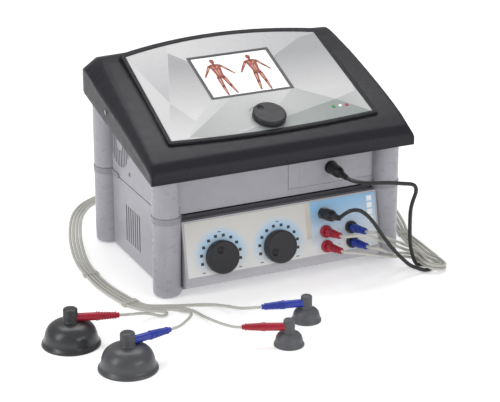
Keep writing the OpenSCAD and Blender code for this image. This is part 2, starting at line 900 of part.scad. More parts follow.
module lid_body(kx, ky, drop) {
    n = 8;
    count = len(section_y);
    points = [for (y = section_y, p = lid_section(y, kx, ky, drop)) p];
    walls = [for (i = [0:count - 2], k = [0:n - 1])
        let (a = i * n + k, b = i * n + (k + 1) % n) each [[a, b, b + n], [a, b + n, a + n]]];
    ends = [[for (k = [n - 1:-1:0]) k], [for (k = [0:n - 1]) (count - 1) * n + k]];
    polyhedron(points, concat(walls, ends));
}

// Outline of the raised faceplate surround on the plate's plane, grown outwards by g
function bow_front(x, half) = -plate_bow * (1 - (x / half) * (x / half));
function arch_back(x, half) = plate_len + plate_arch * (1 - (x / half) * (x / half));
function plate_outline(g, g_back) =
    let (hf = plate_half_front + g, hb = plate_half_back + g) concat(
        [for (i = [0:12]) let (x = -hf + i * hf / 6) [x, bow_front(x, hf) - g]],
        [for (i = [0:16]) let (x = hb - i * hb / 8) [x, arch_back(x, hb) + g_back]]
    );

module lid() {
    side_k = 1 - lid_shell / lid_half_w;
    color("#3b3a3f")
        difference() {
            lid_body(1, 1, 0);
            lid_body(side_k, 1 - 2 * lid_shell / (lid_back_y - lid_front_y), lid_shell + 0.4);
            on_plate(0, 0, -40)
                linear_extrude(60)
                    polygon(plate_outline(rim_w, rim_top_w));
        }
}

module lid_base() {
    inner = lid_half_w - lid_shell;
    reach = 246;
    color("#4a494e")
        difference() {
            translate([0, lid_front_y, base_low(lid_front_y)])
                rotate([lid_slope, 0, 0])
                    translate([-inner, lid_shell + 1.5, 0])
                        cube([2 * inner, reach, base_t]);
            // Way through for the cables
            span([-70, -20, 100], [70, 60, 300]);
        }
}

module lid_bezel() {
    rim_h = 1;
    color("#37363b")
        difference() {
            on_plate(0, 0, -13)
                linear_extrude(13 + rim_h)
                    polygon(plate_outline(rim_w, rim_top_w));
            // Seat of the faceplate
            on_plate(0, 0, -plate_t)
                linear_extrude(10)
                    polygon(plate_outline(0, 0));
            // Hollow underneath
            on_plate(0, 0, -20)
                linear_extrude(20 - plate_t - bezel_floor)
                    polygon(plate_outline(rim_w - wall, rim_top_w - wall));
            on_plate(0, display_s, -10)
                cube([display_w, display_h, 30], center = true);
            on_plate(0, jog_s, -10)
                cylinder(r = 6, h = 20);
            for (x = light_x)
                on_plate(x, light_s, -10)
                    cylinder(r = 2.6, h = 20, $fn = 32);
        }
}

module faceplate() {
    color("#e6e6e8")
        difference() {
            on_plate(0, 0, -plate_t)
                linear_extrude(plate_t)
                    polygon(plate_outline(-0.2, -0.2));
            on_plate(0, display_s, -5)
                translate([-display_w / 2, -display_h / 2, 0])
                    cube([display_w, display_h, 10]);
            on_plate(0, jog_s, -5)
                cylinder(r = 6, h = 10);
            for (x = light_x)
                on_plate(x, light_s, -5)
                    cylinder(r = 2.6, h = 10, $fn = 32);
        }
}

module display_module() {
    color("#eceef0")
        on_plate(0, display_s, 0)
            union() {
                translate([-display_w / 2 + 0.2, -display_h / 2 + 0.2, -4])
                    cube([display_w - 0.4, display_h - 0.4, 3.6]);
                translate([-display_w / 2 - 4.5, -display_h / 2 - 4.5, -9])
                    cube([display_w + 9, display_h + 9, 9 - plate_t - bezel_floor]);
            }
}

module display_board() {
    color("#2f6b3a")
        on_plate(0, display_s, -9)
            union() {
                translate([-75, -52, -6])
                    cube([150, 104, 1.6]);
                for (x = [-70, 70], y = [-48, 48])
                    translate([x, y, -4.4])
                        cylinder(r = 2.5, h = 4.4, $fn = 24);
                translate([-30, -30, -12])
                    cube([60, 14, 6]);
            }
}

module jog_encoder() {
    color("#5a5a60")
        on_plate(0, jog_s, 0)
            difference() {
                union() {
                    translate([-8, -8, -20])
                        cube([16, 16, 10]);
                    translate([0, 0, -10])
                        cylinder(r = 5.6, h = 8);
                }
                translate([0, 0, -19])
                    cylinder(r = 3 + play, h = 30);
            }
}

module jog_spindle() {
    color("#9a9a9e")
        on_plate(0, jog_s, -17)
            cylinder(r = 3, h = 23);
}

jog_h = 8;
jog_gap = 1.5;
module jog_dial() {
    edge = 3;
    color("#403f44")
        on_plate(0, jog_s, jog_gap)
            difference() {
                union() {
                    rotate_extrude($fn = 96)
                        union() {
                            square([jog_r - edge, jog_h]);
                            square([jog_r, jog_h - edge]);
                            translate([jog_r - edge, jog_h - edge])
                                circle(r = edge, $fn = 48);
                        }
                }
                translate([0, 0, -1])
                    cylinder(r = 3 + play, h = 5.6);
                rotate([0, 0, 35])
                    translate([0, 15.5, jog_h + 3.4])
                        sphere(r = 6, $fn = 48);
            }
}

module indicator_lights() {
    color("#dfe8e2")
        for (x = light_x)
            on_plate(x, light_s, -8)
                union() {
                    cylinder(r = 2.5, h = 8.6, $fn = 32);
                    translate([0, 0, -2])
                        cylinder(r = 3.6, h = 2, $fn = 32);
                }
}

// ---------------------------------------------------------------- inside the upper unit

module power_supply() {
    color("#7d7f7a")
        union() {
            span([70, -30, 114.8], [150, 90, 116.4]);
            span([78, -20, 116.4], [110, 20, 146]);
            for (y = [40, 60, 78])
                translate([88, y, 116.4])
                    cylinder(r = 7, h = 24, $fn = 32);
            span([120, -20, 116.4], [124, 80, 140]);
            for (x = [74, 146], y = [-26, 86])
                translate([x, y, upper_floor + sheet])
                    cylinder(r = 3, h = 3, $fn = 24);
        }
}

module control_board() {
    color("#2f6b3a")
        union() {
            span([-120, -80, 119.8], [50, 80, 121.4]);
            for (i = [0:3])
                span([-80 + i * 28, -50, 121.4], [-62 + i * 28, -30, 126]);
            span([-90, 20, 121.4], [-40, 70, 142]);
            for (x = [-116, 46], y = [-76, 76])
                translate([x, y, upper_floor + sheet])
                    cylinder(r = 3, h = 8, $fn = 24);
        }
}

fan_depth = 25;
module fan_housing() {
    arm_z = fan_depth - 4.5;
    color("#2b2b2e")
        translate([-column_dx + sheet, fan_at[0], fan_at[1]])
            rotate([0, 90, 0])
                union() {
                    difference() {
                        translate([-40, -40, 0])
                            cube([80, 80, fan_depth]);
                        translate([0, 0, -1])
                            cylinder(r = 37.5, h = fan_depth + 2);
                        for (sy = [-1, 1], sx = [-1, 1])
                            translate([sx * fan_hole / 2, sy * fan_hole / 2, -1])
                                cylinder(r = 2.2, h = 40, $fn = 24);
                    }
                    // Motor mount, its three arms and the fixed spindle
                    translate([0, 0, arm_z])
                        cylinder(r = 15, h = 4);
                    for (a = [0, 120, 240])
                        rotate([0, 0, a])
                            translate([10, -2, arm_z + 0.3])
                                cube([28.5, 4, 3.4]);
                    translate([0, 0, 10])
                        cylinder(r = 2, h = arm_z - 9);
                }
}

module fan_rotor() {
    blades = 7;
    color("#343437")
        translate([-column_dx + sheet, fan_at[0], fan_at[1]])
            rotate([0, 90, 0])
                difference() {
                    union() {
                        translate([0, 0, 3])
                            cylinder(r = 14, h = 16);
                        for (i = [0:blades - 1])
                            rotate([0, 0, i * 360 / blades])
                                translate([11, 0, 11])
                                    rotate([52, 0, 0])
                                        translate([0, -8, -0.8])
                                            cube([24.5, 16, 1.6]);
                    }
                    translate([0, 0, 8])
                        cylinder(r = 2 + play, h = 30);
                }
}

lid_screw_y = 27.5;
module case_screws() {
    color("#8d8d90")
        union() {
            for (sz = [-1, 1])
                translate([-column_dx, fan_at[0] - fan_hole / 2, fan_at[1] + sz * fan_hole / 2])
                    rotate([0, -90, 0])
                        union() {
                            screw_head(2.8, 1.2);
                            translate([0, 0, -14])
                                cylinder(r = 1.5, h = 14.4, $fn = 24);
                        }
            for (side = [-1, 1])
                translate([side * lid_half_w, lid_screw_y, lid_low(lid_screw_y) + 16.5])
                    rotate([0, side * 90, 0])
                        screw_head(3.2, 1);
        }
}

// ---------------------------------------------------------------- plugs and cords

// Plug of an electrode hose, standing on its mating face, with the hose's bore at the far end
module hose_plug() {
    ribs = 6;
    rib_from = 30;
    rib_to = 50;
    difference() {
        union() {
            translate([0, 0, -plug_pin_l])
                cylinder(r = plug_pin_r, h = plug_pin_l + 1);
            cylinder(r = plug_barrel_r, h = plug_barrel_l);
            translate([0, 0, plug_barrel_l])
                cylinder(r1 = plug_collar_r, r2 = 5.6, h = 4);
            translate([0, 0, rib_from])
                cylinder(r1 = 5, r2 = 4, h = rib_to - rib_from + 1);
            for (i = [0:ribs - 1])
                translate([0, 0, rib_from + i * (rib_to - rib_from) / ribs])
                    cylinder(r = 5.7 - i * 0.22, h = 1.7);
            translate([0, 0, rib_to])
                cylinder(r = 4.7, h = 2);
            translate([0, 0, rib_to + 2])
                cylinder(r = 3.4, h = plug_len - rib_to - 2);
        }
        translate([0, 0, plug_len - hose_bore_depth])
            cylinder(r = hose_d / 2 + play, h = 10);
    }
}

module plug_on_panel(p) {
    on_nose(p[0], p[1], -plug_in_socket)
        hose_plug();
}
module plug_on_cup(cup, z, stem_r) {
    translate([cup[0], cup[1], z])
        rotate([0, 0, cup[2]])
            rotate([0, 90, 0])
                translate([0, 0, stem_r - plug_in_cup])
                    hose_plug();
}

module red_plugs() {
    color("#c01f35")
        union() {
            for (p = red_socket_at)
                plug_on_panel(p);
            plug_on_cup(left_large_at, large_plug_z, large_stem_r);
            plug_on_cup(front_small_at, small_plug_z, small_stem_r);
        }
}

module blue_plugs() {
    color("#2a46b0")
        union() {
            for (p = blue_socket_at)
                plug_on_panel(p);
            plug_on_cup(front_large_at, large_plug_z, large_stem_r);
            plug_on_cup(rear_small_at, small_plug_z, small_stem_r);
        }
}

// Link plug: body with grip rings, then a tapered strain relief with the cable's bore
module link_plug() {
    difference() {
        union() {
            translate([0, 0, -9])
                cylinder(r = 6.1, h = 12);
            translate([0, 0, link_flange])
                cylinder(r = link_plug_r, h = 25.2 - link_flange);
            for (z = [4, 9, 14, 19])
                translate([0, 0, z])
                    cylinder(r = link_plug_r + 0.6, h = 2.2);
            translate([0, 0, 25.2])
                cylinder(r1 = link_plug_r, r2 = 4.8, h = link_plug_l - 29.2);
            translate([0, 0, link_plug_l - 4])
                cylinder(r1 = 4.8, r2 = 3.8, h = link_relief_l + 4);
        }
        translate([0, 0, link_plug_l])
            cylinder(r = cable_d / 2 + play, h = 40);
    }
}

module link_plugs() {
    color("#1b1b1c")
        union() {
            translate([control_socket_at[0], -column_dy - cover_proud, control_socket_at[1]])
                rotate([90, 0, 0])
                    link_plug();
            on_nose(link_socket_at[0], link_socket_at[1])
                link_plug();
        }
}

link_out = link_plug_l + link_relief_l;
module link_cable() {
    top = [control_socket_at[0], -column_dy - cover_proud, control_socket_at[1]];
    color("#161617")
        tube(smooth(concat(
            [top + [0, -link_plug_l, 0], top + [0, -link_out, 0]],
            cable_route,
            [nose_point(link_socket_at[0], link_socket_at[1], link_out),
                nose_point(link_socket_at[0], link_socket_at[1], link_plug_l)])),
            cable_d, 10);
}

module hose(socket, start, lanes, end, cup, z, stem_r) {
    color("#c3c2bb")
        tube(hose_line(socket, start, lanes, end, cup, z, stem_r), hose_d);
}
module hose_rear_small() {
    hose(blue_socket_at[0], hose_rear_small_start, 1.5, hose_rear_small_end, rear_small_at, small_plug_z,
        small_stem_r);
}
module hose_front_small() {
    hose(red_socket_at[0], hose_front_small_start, 0.5, hose_front_small_end, front_small_at, small_plug_z,
        small_stem_r);
}
module hose_front_large() {
    hose(blue_socket_at[1], hose_front_large_start, -0.5, hose_front_large_end, front_large_at, large_plug_z,
        large_stem_r);
}
module hose_left_large() {
    hose(red_socket_at[1], hose_left_large_start, -1.5, hose_left_large_end, left_large_at, large_plug_z,
        large_stem_r);
}

// Flat clip that holds the four hoses side by side, lying on the floor
module hose_clip(p, heading, gap) {
    clip_l = 9;
    half_w = 2 * gap + 0.2;
    clip_h = hose_z + hose_d / 2 + 1;
    translate([p[0], p[1], 0])
        rotate([0, 0, heading])
            difference() {
                translate([-clip_l / 2, -half_w - 1, 0])
                    cube([clip_l, 2 * half_w + 2, clip_h]);
                translate([-10, -half_w, -eps])
                    cube([20, 2 * half_w, eps + hose_z + hose_d / 2 + 0.3]);
            }
}
module hose_clips() {
    color("#cbcac4")
        for (i = clip_at) {
            d = along(ribbon, i);
            hose_clip(ribbon[i], atan2(d[1], d[0]), ribbon[i][3]);
        }
}

// ---------------------------------------------------------------- suction cups

// Outline of a cup from its rim up to the stem, radius and height as shares of the rim's radius
large_bell = [[1, 0], [1, 0.075], [0.96, 0.13], [0.87, 0.23], [0.825, 0.35], [0.80, 0.48],
    [0.755, 0.6], [0.67, 0.71], [0.54, 0.79], [0.38, 0.835]];
small_bell = [[1, 0], [1, 0.13], [0.94, 0.2], [0.90, 0.3], [0.88, 0.45], [0.82, 0.62], [0.70, 0.77],
    [0.52, 0.88], [0.42, 0.92]];

module cup(place, bell, rim_r, height, stem_r, plug_z, skin) {
    top_bell = bell[len(bell) - 1][1] * rim_r;
    outer = [for (p = bell) [p[0] * rim_r, p[1] * rim_r]];
    inner = [for (p = bell) [max(0.1, p[0] * rim_r - skin), p[1] * rim_r - skin * 0.9]];
    translate([place[0], place[1], 0])
        rotate([0, 0, place[2]])
            difference() {
                union() {
                    rotate_extrude($fn = 96)
                        polygon(concat([[0, 0]], outer, [[0, top_bell]]));
                    cylinder(r = stem_r, h = height - stem_r * 0.55);
                    translate([0, 0, height - stem_r * 0.55])
                        intersection() {
                            translate([0, 0, stem_r * 0.55 - 1.1 * stem_r])
                                sphere(r = 1.1 * stem_r);
                            cylinder(r = stem_r, h = stem_r);
                        }
                }
                rotate_extrude($fn = 96)
                    polygon(concat([[0, -1], [inner[0][0], -1]], inner,
                        [[0, inner[len(inner) - 1][1]]]));
                // Recess for the plug's barrel, bore for its pin, and the air way down into the bell
                translate([stem_r - plug_in_cup, 0, plug_z])
                    rotate([0, 90, 0])
                        cylinder(r = plug_barrel_r + play, h = 20);
                translate([stem_r - plug_in_cup - plug_pin_l - 0.5, 0, plug_z])
                    rotate([0, 90, 0])
                        cylinder(r = plug_pin_r + play, h = 20);
                cylinder(r = 1.2, h = plug_z, $fn = 24);
            }
}

// Metal electrode with a thin sponge, held under the roof of a cup
module electrode(place, r, z) {
    color("#b7b9bd")
        translate([place[0], place[1], z])
            difference() {
                union() {
                    cylinder(r = r, h = 1.2);
                    translate([0, 0, 1.2])
                        cylinder(r = r * 0.4, h = 3.4);
                }
                translate([0, 0, -1])
                    cylinder(r = 1.5, h = 10, $fn = 24);
            }
}

module large_cup(place) {
    color("#3d3c40")
        cup(place, large_bell, large_cup_r, large_cup_h, large_stem_r, large_plug_z, 3);
}
module small_cup(place) {
    color("#4b4a4f")
        cup(place, small_bell, small_cup_r, small_cup_h, small_stem_r, small_plug_z, 2.4);
}
large_roof = 0.835 * large_cup_r - 2.7;
small_roof = 0.92 * small_cup_r - 2.16;
plate_drop = 4.6;
module front_large_cup() {
    large_cup(front_large_at);
}
module left_large_cup() {
    large_cup(left_large_at);
}
module front_small_cup() {
    small_cup(front_small_at);
}
module rear_small_cup() {
    small_cup(rear_small_at);
}
module front_large_electrode() {
    electrode(front_large_at, 20, large_roof - plate_drop);
}
module left_large_electrode() {
    electrode(left_large_at, 20, large_roof - plate_drop);
}
module front_small_electrode() {
    electrode(front_small_at, 10, small_roof - plate_drop);
}
module rear_small_electrode() {
    electrode(rear_small_at, 10, small_roof - plate_drop);
}

control_case();
control_front_panel();
option_cover();
control_rear_panel();
upper_columns();
lid_base();
lid();
lid_bezel();
faceplate();
display_module();
display_board();
jog_encoder();
jog_spindle();
jog_dial();
indicator_lights();
power_supply();
control_board();
fan_housing();
fan_rotor();
control_socket();
mains_inlet();
mains_rocker();
case_screws();
vacuum_case();
vacuum_cover();
vacuum_rear_panel();
vacuum_front();
front_overlay();
lower_columns();
stacking_collars();
rubber_feet();
left_knob();
right_knob();
left_potentiometer();
right_potentiometer();
link_socket();
red_sockets();
blue_sockets();
vacuum_board();
pump_body();
pump_armature();
valve_body();
valve_plunger();
link_cable();
link_plugs();
hose_rear_small();
hose_front_small();
hose_front_large();
hose_left_large();
red_plugs();
blue_plugs();
hose_clips();
front_large_cup();
left_large_cup();
front_small_cup();
rear_small_cup();
front_large_electrode();
left_large_electrode();
front_small_electrode();
rear_small_electrode();
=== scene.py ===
# Looks of the therapy stack: materials, printed panels, screen, hoses and cable.
# Lengths are in millimetres where a name or comment says so, and metres elsewhere.
import json
import math

import bmesh
import bpy
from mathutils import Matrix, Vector


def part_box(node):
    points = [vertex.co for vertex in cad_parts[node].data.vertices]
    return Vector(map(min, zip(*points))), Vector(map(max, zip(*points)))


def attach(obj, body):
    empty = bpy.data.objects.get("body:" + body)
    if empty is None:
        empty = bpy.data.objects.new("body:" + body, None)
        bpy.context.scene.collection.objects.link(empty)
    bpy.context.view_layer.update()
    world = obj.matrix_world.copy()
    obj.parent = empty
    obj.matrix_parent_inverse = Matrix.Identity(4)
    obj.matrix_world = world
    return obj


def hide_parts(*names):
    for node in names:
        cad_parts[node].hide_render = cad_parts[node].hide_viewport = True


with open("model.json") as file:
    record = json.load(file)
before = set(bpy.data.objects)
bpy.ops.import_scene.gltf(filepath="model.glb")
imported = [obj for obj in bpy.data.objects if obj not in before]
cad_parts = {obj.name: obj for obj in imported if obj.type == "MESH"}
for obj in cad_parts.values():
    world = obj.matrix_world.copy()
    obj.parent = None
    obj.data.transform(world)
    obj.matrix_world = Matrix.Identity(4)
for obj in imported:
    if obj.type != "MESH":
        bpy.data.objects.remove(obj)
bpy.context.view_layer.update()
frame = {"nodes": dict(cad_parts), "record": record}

MM = 0.001
record = frame["record"]
nodes = frame["nodes"]
joints = {j["name"]: j for j in record["behaviour"]["joints"]}


# ---------------------------------------------------------------- camera, light, floor

CAMERA_PLACE = (-1.087, -2.361, 1.094)
CAMERA_AZIMUTH = -24.89
CAMERA_ELEVATION = 21.51
CAMERA_LENS = 141.5
WORLD_STRENGTH = 0.48
# Softboxes: place, point aimed at, width and height in metres, and watts
SOFTBOXES = {
    "softbox_top": ((0.1, 0.5, 1.7), (0, 0, 0.1), (1.8, 0.9), 17),
    "softbox_left": ((-1.9, -0.4, 1.1), (-0.1, 0, 0.12), (0.7, 1.5), 14),
    "softbox_front": ((0.8, -2.3, 0.9), (0, 0, 0.1), (1.6, 0.5), 13),
}
FLOOR_HALF = 6.0
FLOOR_DROP = 0.0002


def add_camera():
    """A long lens, in front of the object, to its left and a little above it."""
    data = bpy.data.cameras.new("camera")
    data.lens = CAMERA_LENS
    data.sensor_width = 36
    camera = bpy.data.objects.new("camera", data)
    azimuth, elevation = math.radians(CAMERA_AZIMUTH), math.radians(CAMERA_ELEVATION)
    back = Vector((math.sin(azimuth) * math.cos(elevation),
                   -math.cos(azimuth) * math.cos(elevation), math.sin(elevation)))
    camera.location = CAMERA_PLACE
    camera.rotation_mode = "QUATERNION"
    camera.rotation_quaternion = (-back).to_track_quat("-Z", "Y")
    bpy.context.collection.objects.link(camera)
    bpy.context.scene.camera = camera


def add_area_light(name, place, aim, size, power):
    data = bpy.data.lights.new(name, "AREA")
    data.shape = "RECTANGLE"
    data.size, data.size_y = size
    data.energy = power
    light = bpy.data.objects.new(name, data)
    light.location = place
    light.rotation_mode = "QUATERNION"
    light.rotation_quaternion = (Vector(aim) - Vector(place)).to_track_quat("-Z", "Y")
    bpy.context.collection.objects.link(light)


def add_studio():
    """White surroundings and three softboxes."""
    world = bpy.data.worlds.new("studio")
    world.use_nodes = True
    background = world.node_tree.nodes["Background"]
    background.inputs["Color"].default_value = (1.0, 1.0, 1.0, 1)
    background.inputs["Strength"].default_value = WORLD_STRENGTH
    bpy.context.scene.world = world
    bpy.context.scene.view_settings.view_transform = "Standard"
    for name, settings in SOFTBOXES.items():
        add_area_light(name, *settings)


def add_floor():
    """Wide pale floor just under the feet."""
    corners = [(-1, -1), (1, -1), (1, 1), (-1, 1)]
    mesh = bpy.data.meshes.new("floor")
    mesh.from_pydata([(x * FLOOR_HALF, y * FLOOR_HALF, -FLOOR_DROP) for x, y in corners],
                     [], [(0, 1, 2, 3)])
    floor = bpy.data.objects.new("floor", mesh)
    bpy.context.collection.objects.link(floor)
    shade = bpy.data.materials.new("floor_paper")
    shade.use_nodes = True
    bsdf = shade.node_tree.nodes["Principled BSDF"]
    bsdf.inputs["Base Color"].default_value = (0.93, 0.93, 0.93, 1)
    bsdf.inputs["Roughness"].default_value = 0.6
    bsdf.inputs["Emission Color"].default_value = (1, 1, 1, 1)
    bsdf.inputs["Emission Strength"].default_value = 0.3
    mesh.materials.append(shade)


# ---------------------------------------------------------------- node helpers

def srgb(code):
    """Linear RGBA from a hex colour."""
    values = [int(code[i:i + 2], 16) / 255 for i in (1, 3, 5)]
    return tuple(v / 12.92 if v <= 0.04045 else ((v + 0.055) / 1.055) ** 2.4 for v in values) + (1,)


class Shade:
    """A Principled material built up from small node steps."""

    def __init__(self, name):
        self.material = bpy.data.materials.new(name)
        self.material.use_nodes = True
        self.tree = self.material.node_tree
        self.bsdf = self.tree.nodes["Principled BSDF"]
        self.place = self.tree.nodes.new("ShaderNodeTexCoord").outputs["Object"]

    def put(self, socket, value):
        if isinstance(value, bpy.types.NodeSocket):
            self.tree.links.new(value, socket)
        else:
            socket.default_value = value

    def node(self, kind, **settings):
        made = self.tree.nodes.new(kind)
        for key, value in settings.items():
            setattr(made, key, value)
        return made

    def math(self, operation, a, b=0.0, c=0.0, clamp=False):
        made = self.node("ShaderNodeMath", operation=operation, use_clamp=clamp)
        for socket, value in zip(made.inputs, (a, b, c)):
            self.put(socket, value)
        return made.outputs[0]

    def dot(self, a, b):
        made = self.node("ShaderNodeVectorMath", operation="DOT_PRODUCT")
        self.put(made.inputs[0], a)
        self.put(made.inputs[1], b)
        return made.outputs["Value"]

    def noise(self, scale, detail=4.0, rough=0.55, stretch=(1, 1, 1)):
        place = self.place
        if stretch != (1, 1, 1):
            made = self.node("ShaderNodeMapping")
            self.put(made.inputs["Vector"], self.place)
            made.inputs["Scale"].default_value = stretch
            place = made.outputs["Vector"]
        made = self.node("ShaderNodeTexNoise")
        self.put(made.inputs["Vector"], place)
        made.inputs["Scale"].default_value = scale
        made.inputs["Detail"].default_value = detail
        made.inputs["Roughness"].default_value = rough
        return made.outputs["Fac"]

    def remap(self, value, low, high, to_low, to_high):
        made = self.node("ShaderNodeMapRange")
        for socket, given in zip(made.inputs, (value, low, high, to_low, to_high)):
            self.put(socket, given)
        return made.outputs["Result"]

    def mix(self, factor, a, b):
        made = self.node("ShaderNodeMix", data_type="RGBA")
        colours = [s for s in made.inputs if s.type == "RGBA"]
        self.put(made.inputs[0], factor)
        self.put(colours[0], a)
        self.put(colours[1], b)
        return next(s for s in made.outputs if s.type == "RGBA")

    def edges(self, radius):
        """1 along worn convex edges, 0 on flat faces."""
        bevel = self.node("ShaderNodeBevel", samples=4)
        bevel.inputs["Radius"].default_value = radius
        true_normal = self.node("ShaderNodeNewGeometry").outputs["Normal"]
        turned = self.math("SUBTRACT", 1.0, self.dot(bevel.outputs["Normal"], true_normal))
        return self.math("MULTIPLY", turned, 4.0, clamp=True)

    def relief(self, heights, soften=0.0004):
        """Bump from (height, distance) pairs over a softened edge normal."""
        bevel = self.node("ShaderNodeBevel", samples=4)
        bevel.inputs["Radius"].default_value = soften
        normal = bevel.outputs["Normal"]
        for height, distance in heights:
            bump = self.node("ShaderNodeBump")
            bump.inputs["Strength"].default_value = 1.0
            bump.inputs["Distance"].default_value = distance
            self.put(bump.inputs["Height"], height)
            self.put(bump.inputs["Normal"], normal)
            normal = bump.outputs["Normal"]
        self.put(self.bsdf.inputs["Normal"], normal)


def finish_shade(shade, colour, roughness, grain=1400, grain_depth=0.00002, wave_depth=0.0,
                 mottle=0.08, wear=0.25, wear_colour=None, streaks=None, spread=0.06,
                 soften=0.0004):
    """Mottled colour, worn edges, uneven gloss and fine relief over a base colour."""
    dark = shade.math("MULTIPLY", shade.remap(shade.noise(38), 0.3, 0.7, 0, 1), mottle)
    toned = shade.mix(dark, colour, (0.02, 0.02, 0.022, 1))
    if streaks:
        lines = shade.remap(shade.noise(60, 5, 0.6, streaks), 0.35, 0.7, 0.0, 0.22)
        toned = shade.mix(lines, toned, (0.30, 0.30, 0.31, 1))
    if wear:
        rubbed = shade.math("MULTIPLY", shade.edges(0.0009),
                            shade.remap(shade.noise(220), 0.42, 0.7, 0.0, wear))
        toned = shade.mix(rubbed, toned, wear_colour or (0.75, 0.75, 0.76, 1))
    shade.put(shade.bsdf.inputs["Base Color"], toned)
    gloss = shade.remap(shade.noise(95, 6), 0.3, 0.7, roughness - spread, roughness + spread)
    shade.put(shade.bsdf.inputs["Roughness"], gloss)
    heights = [(shade.noise(grain, 2), grain_depth)]
    if wave_depth:
        heights.append((shade.noise(26, 2), wave_depth))
    shade.relief(heights, soften)
    return shade.material


# Finish of each material slot: colour, roughness, and what differs from finish_shade's usual values
FINISHES = {
    "casing": dict(colour="#a3a2a9", roughness=0.34, grain=900, grain_depth=0.00003,
                   wave_depth=0.00012, wear=0.5),
    "columns": dict(colour="#a1a0a7", roughness=0.3, grain=1100, grain_depth=0.00002, wear=0.4),
    "lid": dict(colour="#242329", roughness=0.32, specular=0.22, grain=1600, grain_depth=0.00003,
                wear=0.1, mottle=0.12, soften=0.01),
    "board": dict(colour="#1d5a34", roughness=0.35, mottle=0.3),
    "electronics": dict(colour="#55565a", roughness=0.5, mottle=0.3),
    "black_plastic": dict(colour="#1b1b1d", roughness=0.33, grain=1500, wear=0.15),
    "steel": dict(colour="#a9a9ab", roughness=0.3, metallic=1.0, wear=0.0,
                  streaks=(1, 1, 14)),
    "feet": dict(colour="#232326", roughness=0.75, grain=700, grain_depth=0.00006, wear=0.0),
    "knob": dict(colour="#2c2c2f", roughness=0.4, specular=0.3, grain=1900, grain_depth=0.00004,
                 wear=0.1),
    "socket_ring": dict(colour="#c4c4c8", roughness=0.2, metallic=1.0, wear=0.0, mottle=0.03),
    "red_plastic": dict(colour="#a3122b", roughness=0.34, grain=1300, wear=0.08,
                        wear_colour=(0.9, 0.35, 0.4, 1)),
    "blue_plastic": dict(colour="#1b35a0", roughness=0.34, grain=1300, wear=0.08,
                         wear_colour=(0.35, 0.45, 0.95, 1)),
    "dark_plastic": dict(colour="#17181f", roughness=0.3, grain=1300, wear=0.1),
    "pump_metal": dict(colour="#77777a", roughness=0.5, metallic=0.8, wear=0.3),
    "cable": dict(colour="#121214", roughness=0.4, grain=900, grain_depth=0.00003, wear=0.0),
    "hose": dict(colour="#bbbab3", roughness=0.4, grain=800, grain_depth=0.00003, wear=0.0,
                 mottle=0.1),
    "electrode": dict(colour="#8d8d90", roughness=0.38, metallic=1.0, wear=0.0,
                      streaks=(14, 1, 1)),
}


def slot_material(slot, name=None, **changes):
    """The material of a slot; changes replace entries of its finish."""
    finish = dict(FINISHES[slot], **changes)
    shade = Shade(name or slot + "_finish")
    shade.bsdf.inputs["Metallic"].default_value = finish.pop("metallic", 0.0)
    shade.bsdf.inputs["Specular IOR Level"].default_value = finish.pop("specular", 0.5)
    colour = srgb(finish.pop("colour"))
    roughness = finish.pop("roughness")
    return finish_shade(shade, colour, roughness, **finish)


# ---------------------------------------------------------------- the two panel planes

class Plane:
    """A sloped panel: x across, s along it, h above it, all in millimetres."""

    def __init__(self, origin, along, normal):
        self.origin, self.along, self.normal = Vector(origin), Vector(along), Vector(normal)

    def at(self, x, s, h=0.0):
        return self.origin + (Vector((1, 0, 0)) * x + self.along * s + self.normal * h) * MM

    def coordinates(self, shade):
        """Sockets giving x and s in millimetres."""
        x = shade.math("MULTIPLY", shade.dot(shade.place, (1, 0, 0)), 1000)
        s = shade.math("MULTIPLY", shade.dot(shade.place, tuple(self.along)), 1000)
        return x, shade.math("SUBTRACT", s, self.along.dot(self.origin) * 1000)


def plane_through(joint, flip, s_of_joint):
    """The plane at a dial's joint; s runs up the slope, or down it if flip is -1."""
    normal = Vector(joint["axis"]).normalized()
    if normal.z < 0:
        normal = -normal
    up = normal.cross(Vector((1, 0, 0))) * flip
    return Plane(Vector((0, joint["pos_m"][1], joint["pos_m"][2])) - up * s_of_joint * MM, up, normal)


DIAL_S = 18.5
KNOB_S = 55
KNOB_X = [joints["left_knob_turn"]["pos_m"][0] / MM, joints["right_knob_turn"]["pos_m"][0] / MM]
plate = plane_through(joints["jog_turn"], 1, DIAL_S)
panel = plane_through(joints["left_knob_turn"], -1, KNOB_S)


# ---------------------------------------------------------------- printed panels

def inside(shade, x, s, corners, blur=0.35):
    """1 inside a convex outline given counter-clockwise in x and s."""
    mask = None
    for (x_a, s_a), (x_b, s_b) in zip(corners, corners[1:] + corners[:1]):
        run = math.hypot(x_b - x_a, s_b - s_a)
        nx, ns = -(s_b - s_a) / run, (x_b - x_a) / run
        across = shade.math("MULTIPLY_ADD", x, nx, -(nx * x_a + ns * s_a))
        across = shade.math("MULTIPLY_ADD", s, ns, across)
        edge = shade.math("MULTIPLY_ADD", across, 1 / blur, 0.5, clamp=True)
        mask = edge if mask is None else shade.math("MULTIPLY", mask, edge)
    return mask


def ramp(shade, x, s, start, end):
    """0 at start rising to 1 at end, in a straight line across the panel."""
    dx, ds = end[0] - start[0], end[1] - start[1]
    size = dx * dx + ds * ds
    value = shade.math("MULTIPLY_ADD", x, dx / size, -(start[0] * dx + start[1] * ds) / size)
    return shade.math("MULTIPLY_ADD", s, ds / size, value, clamp=True)


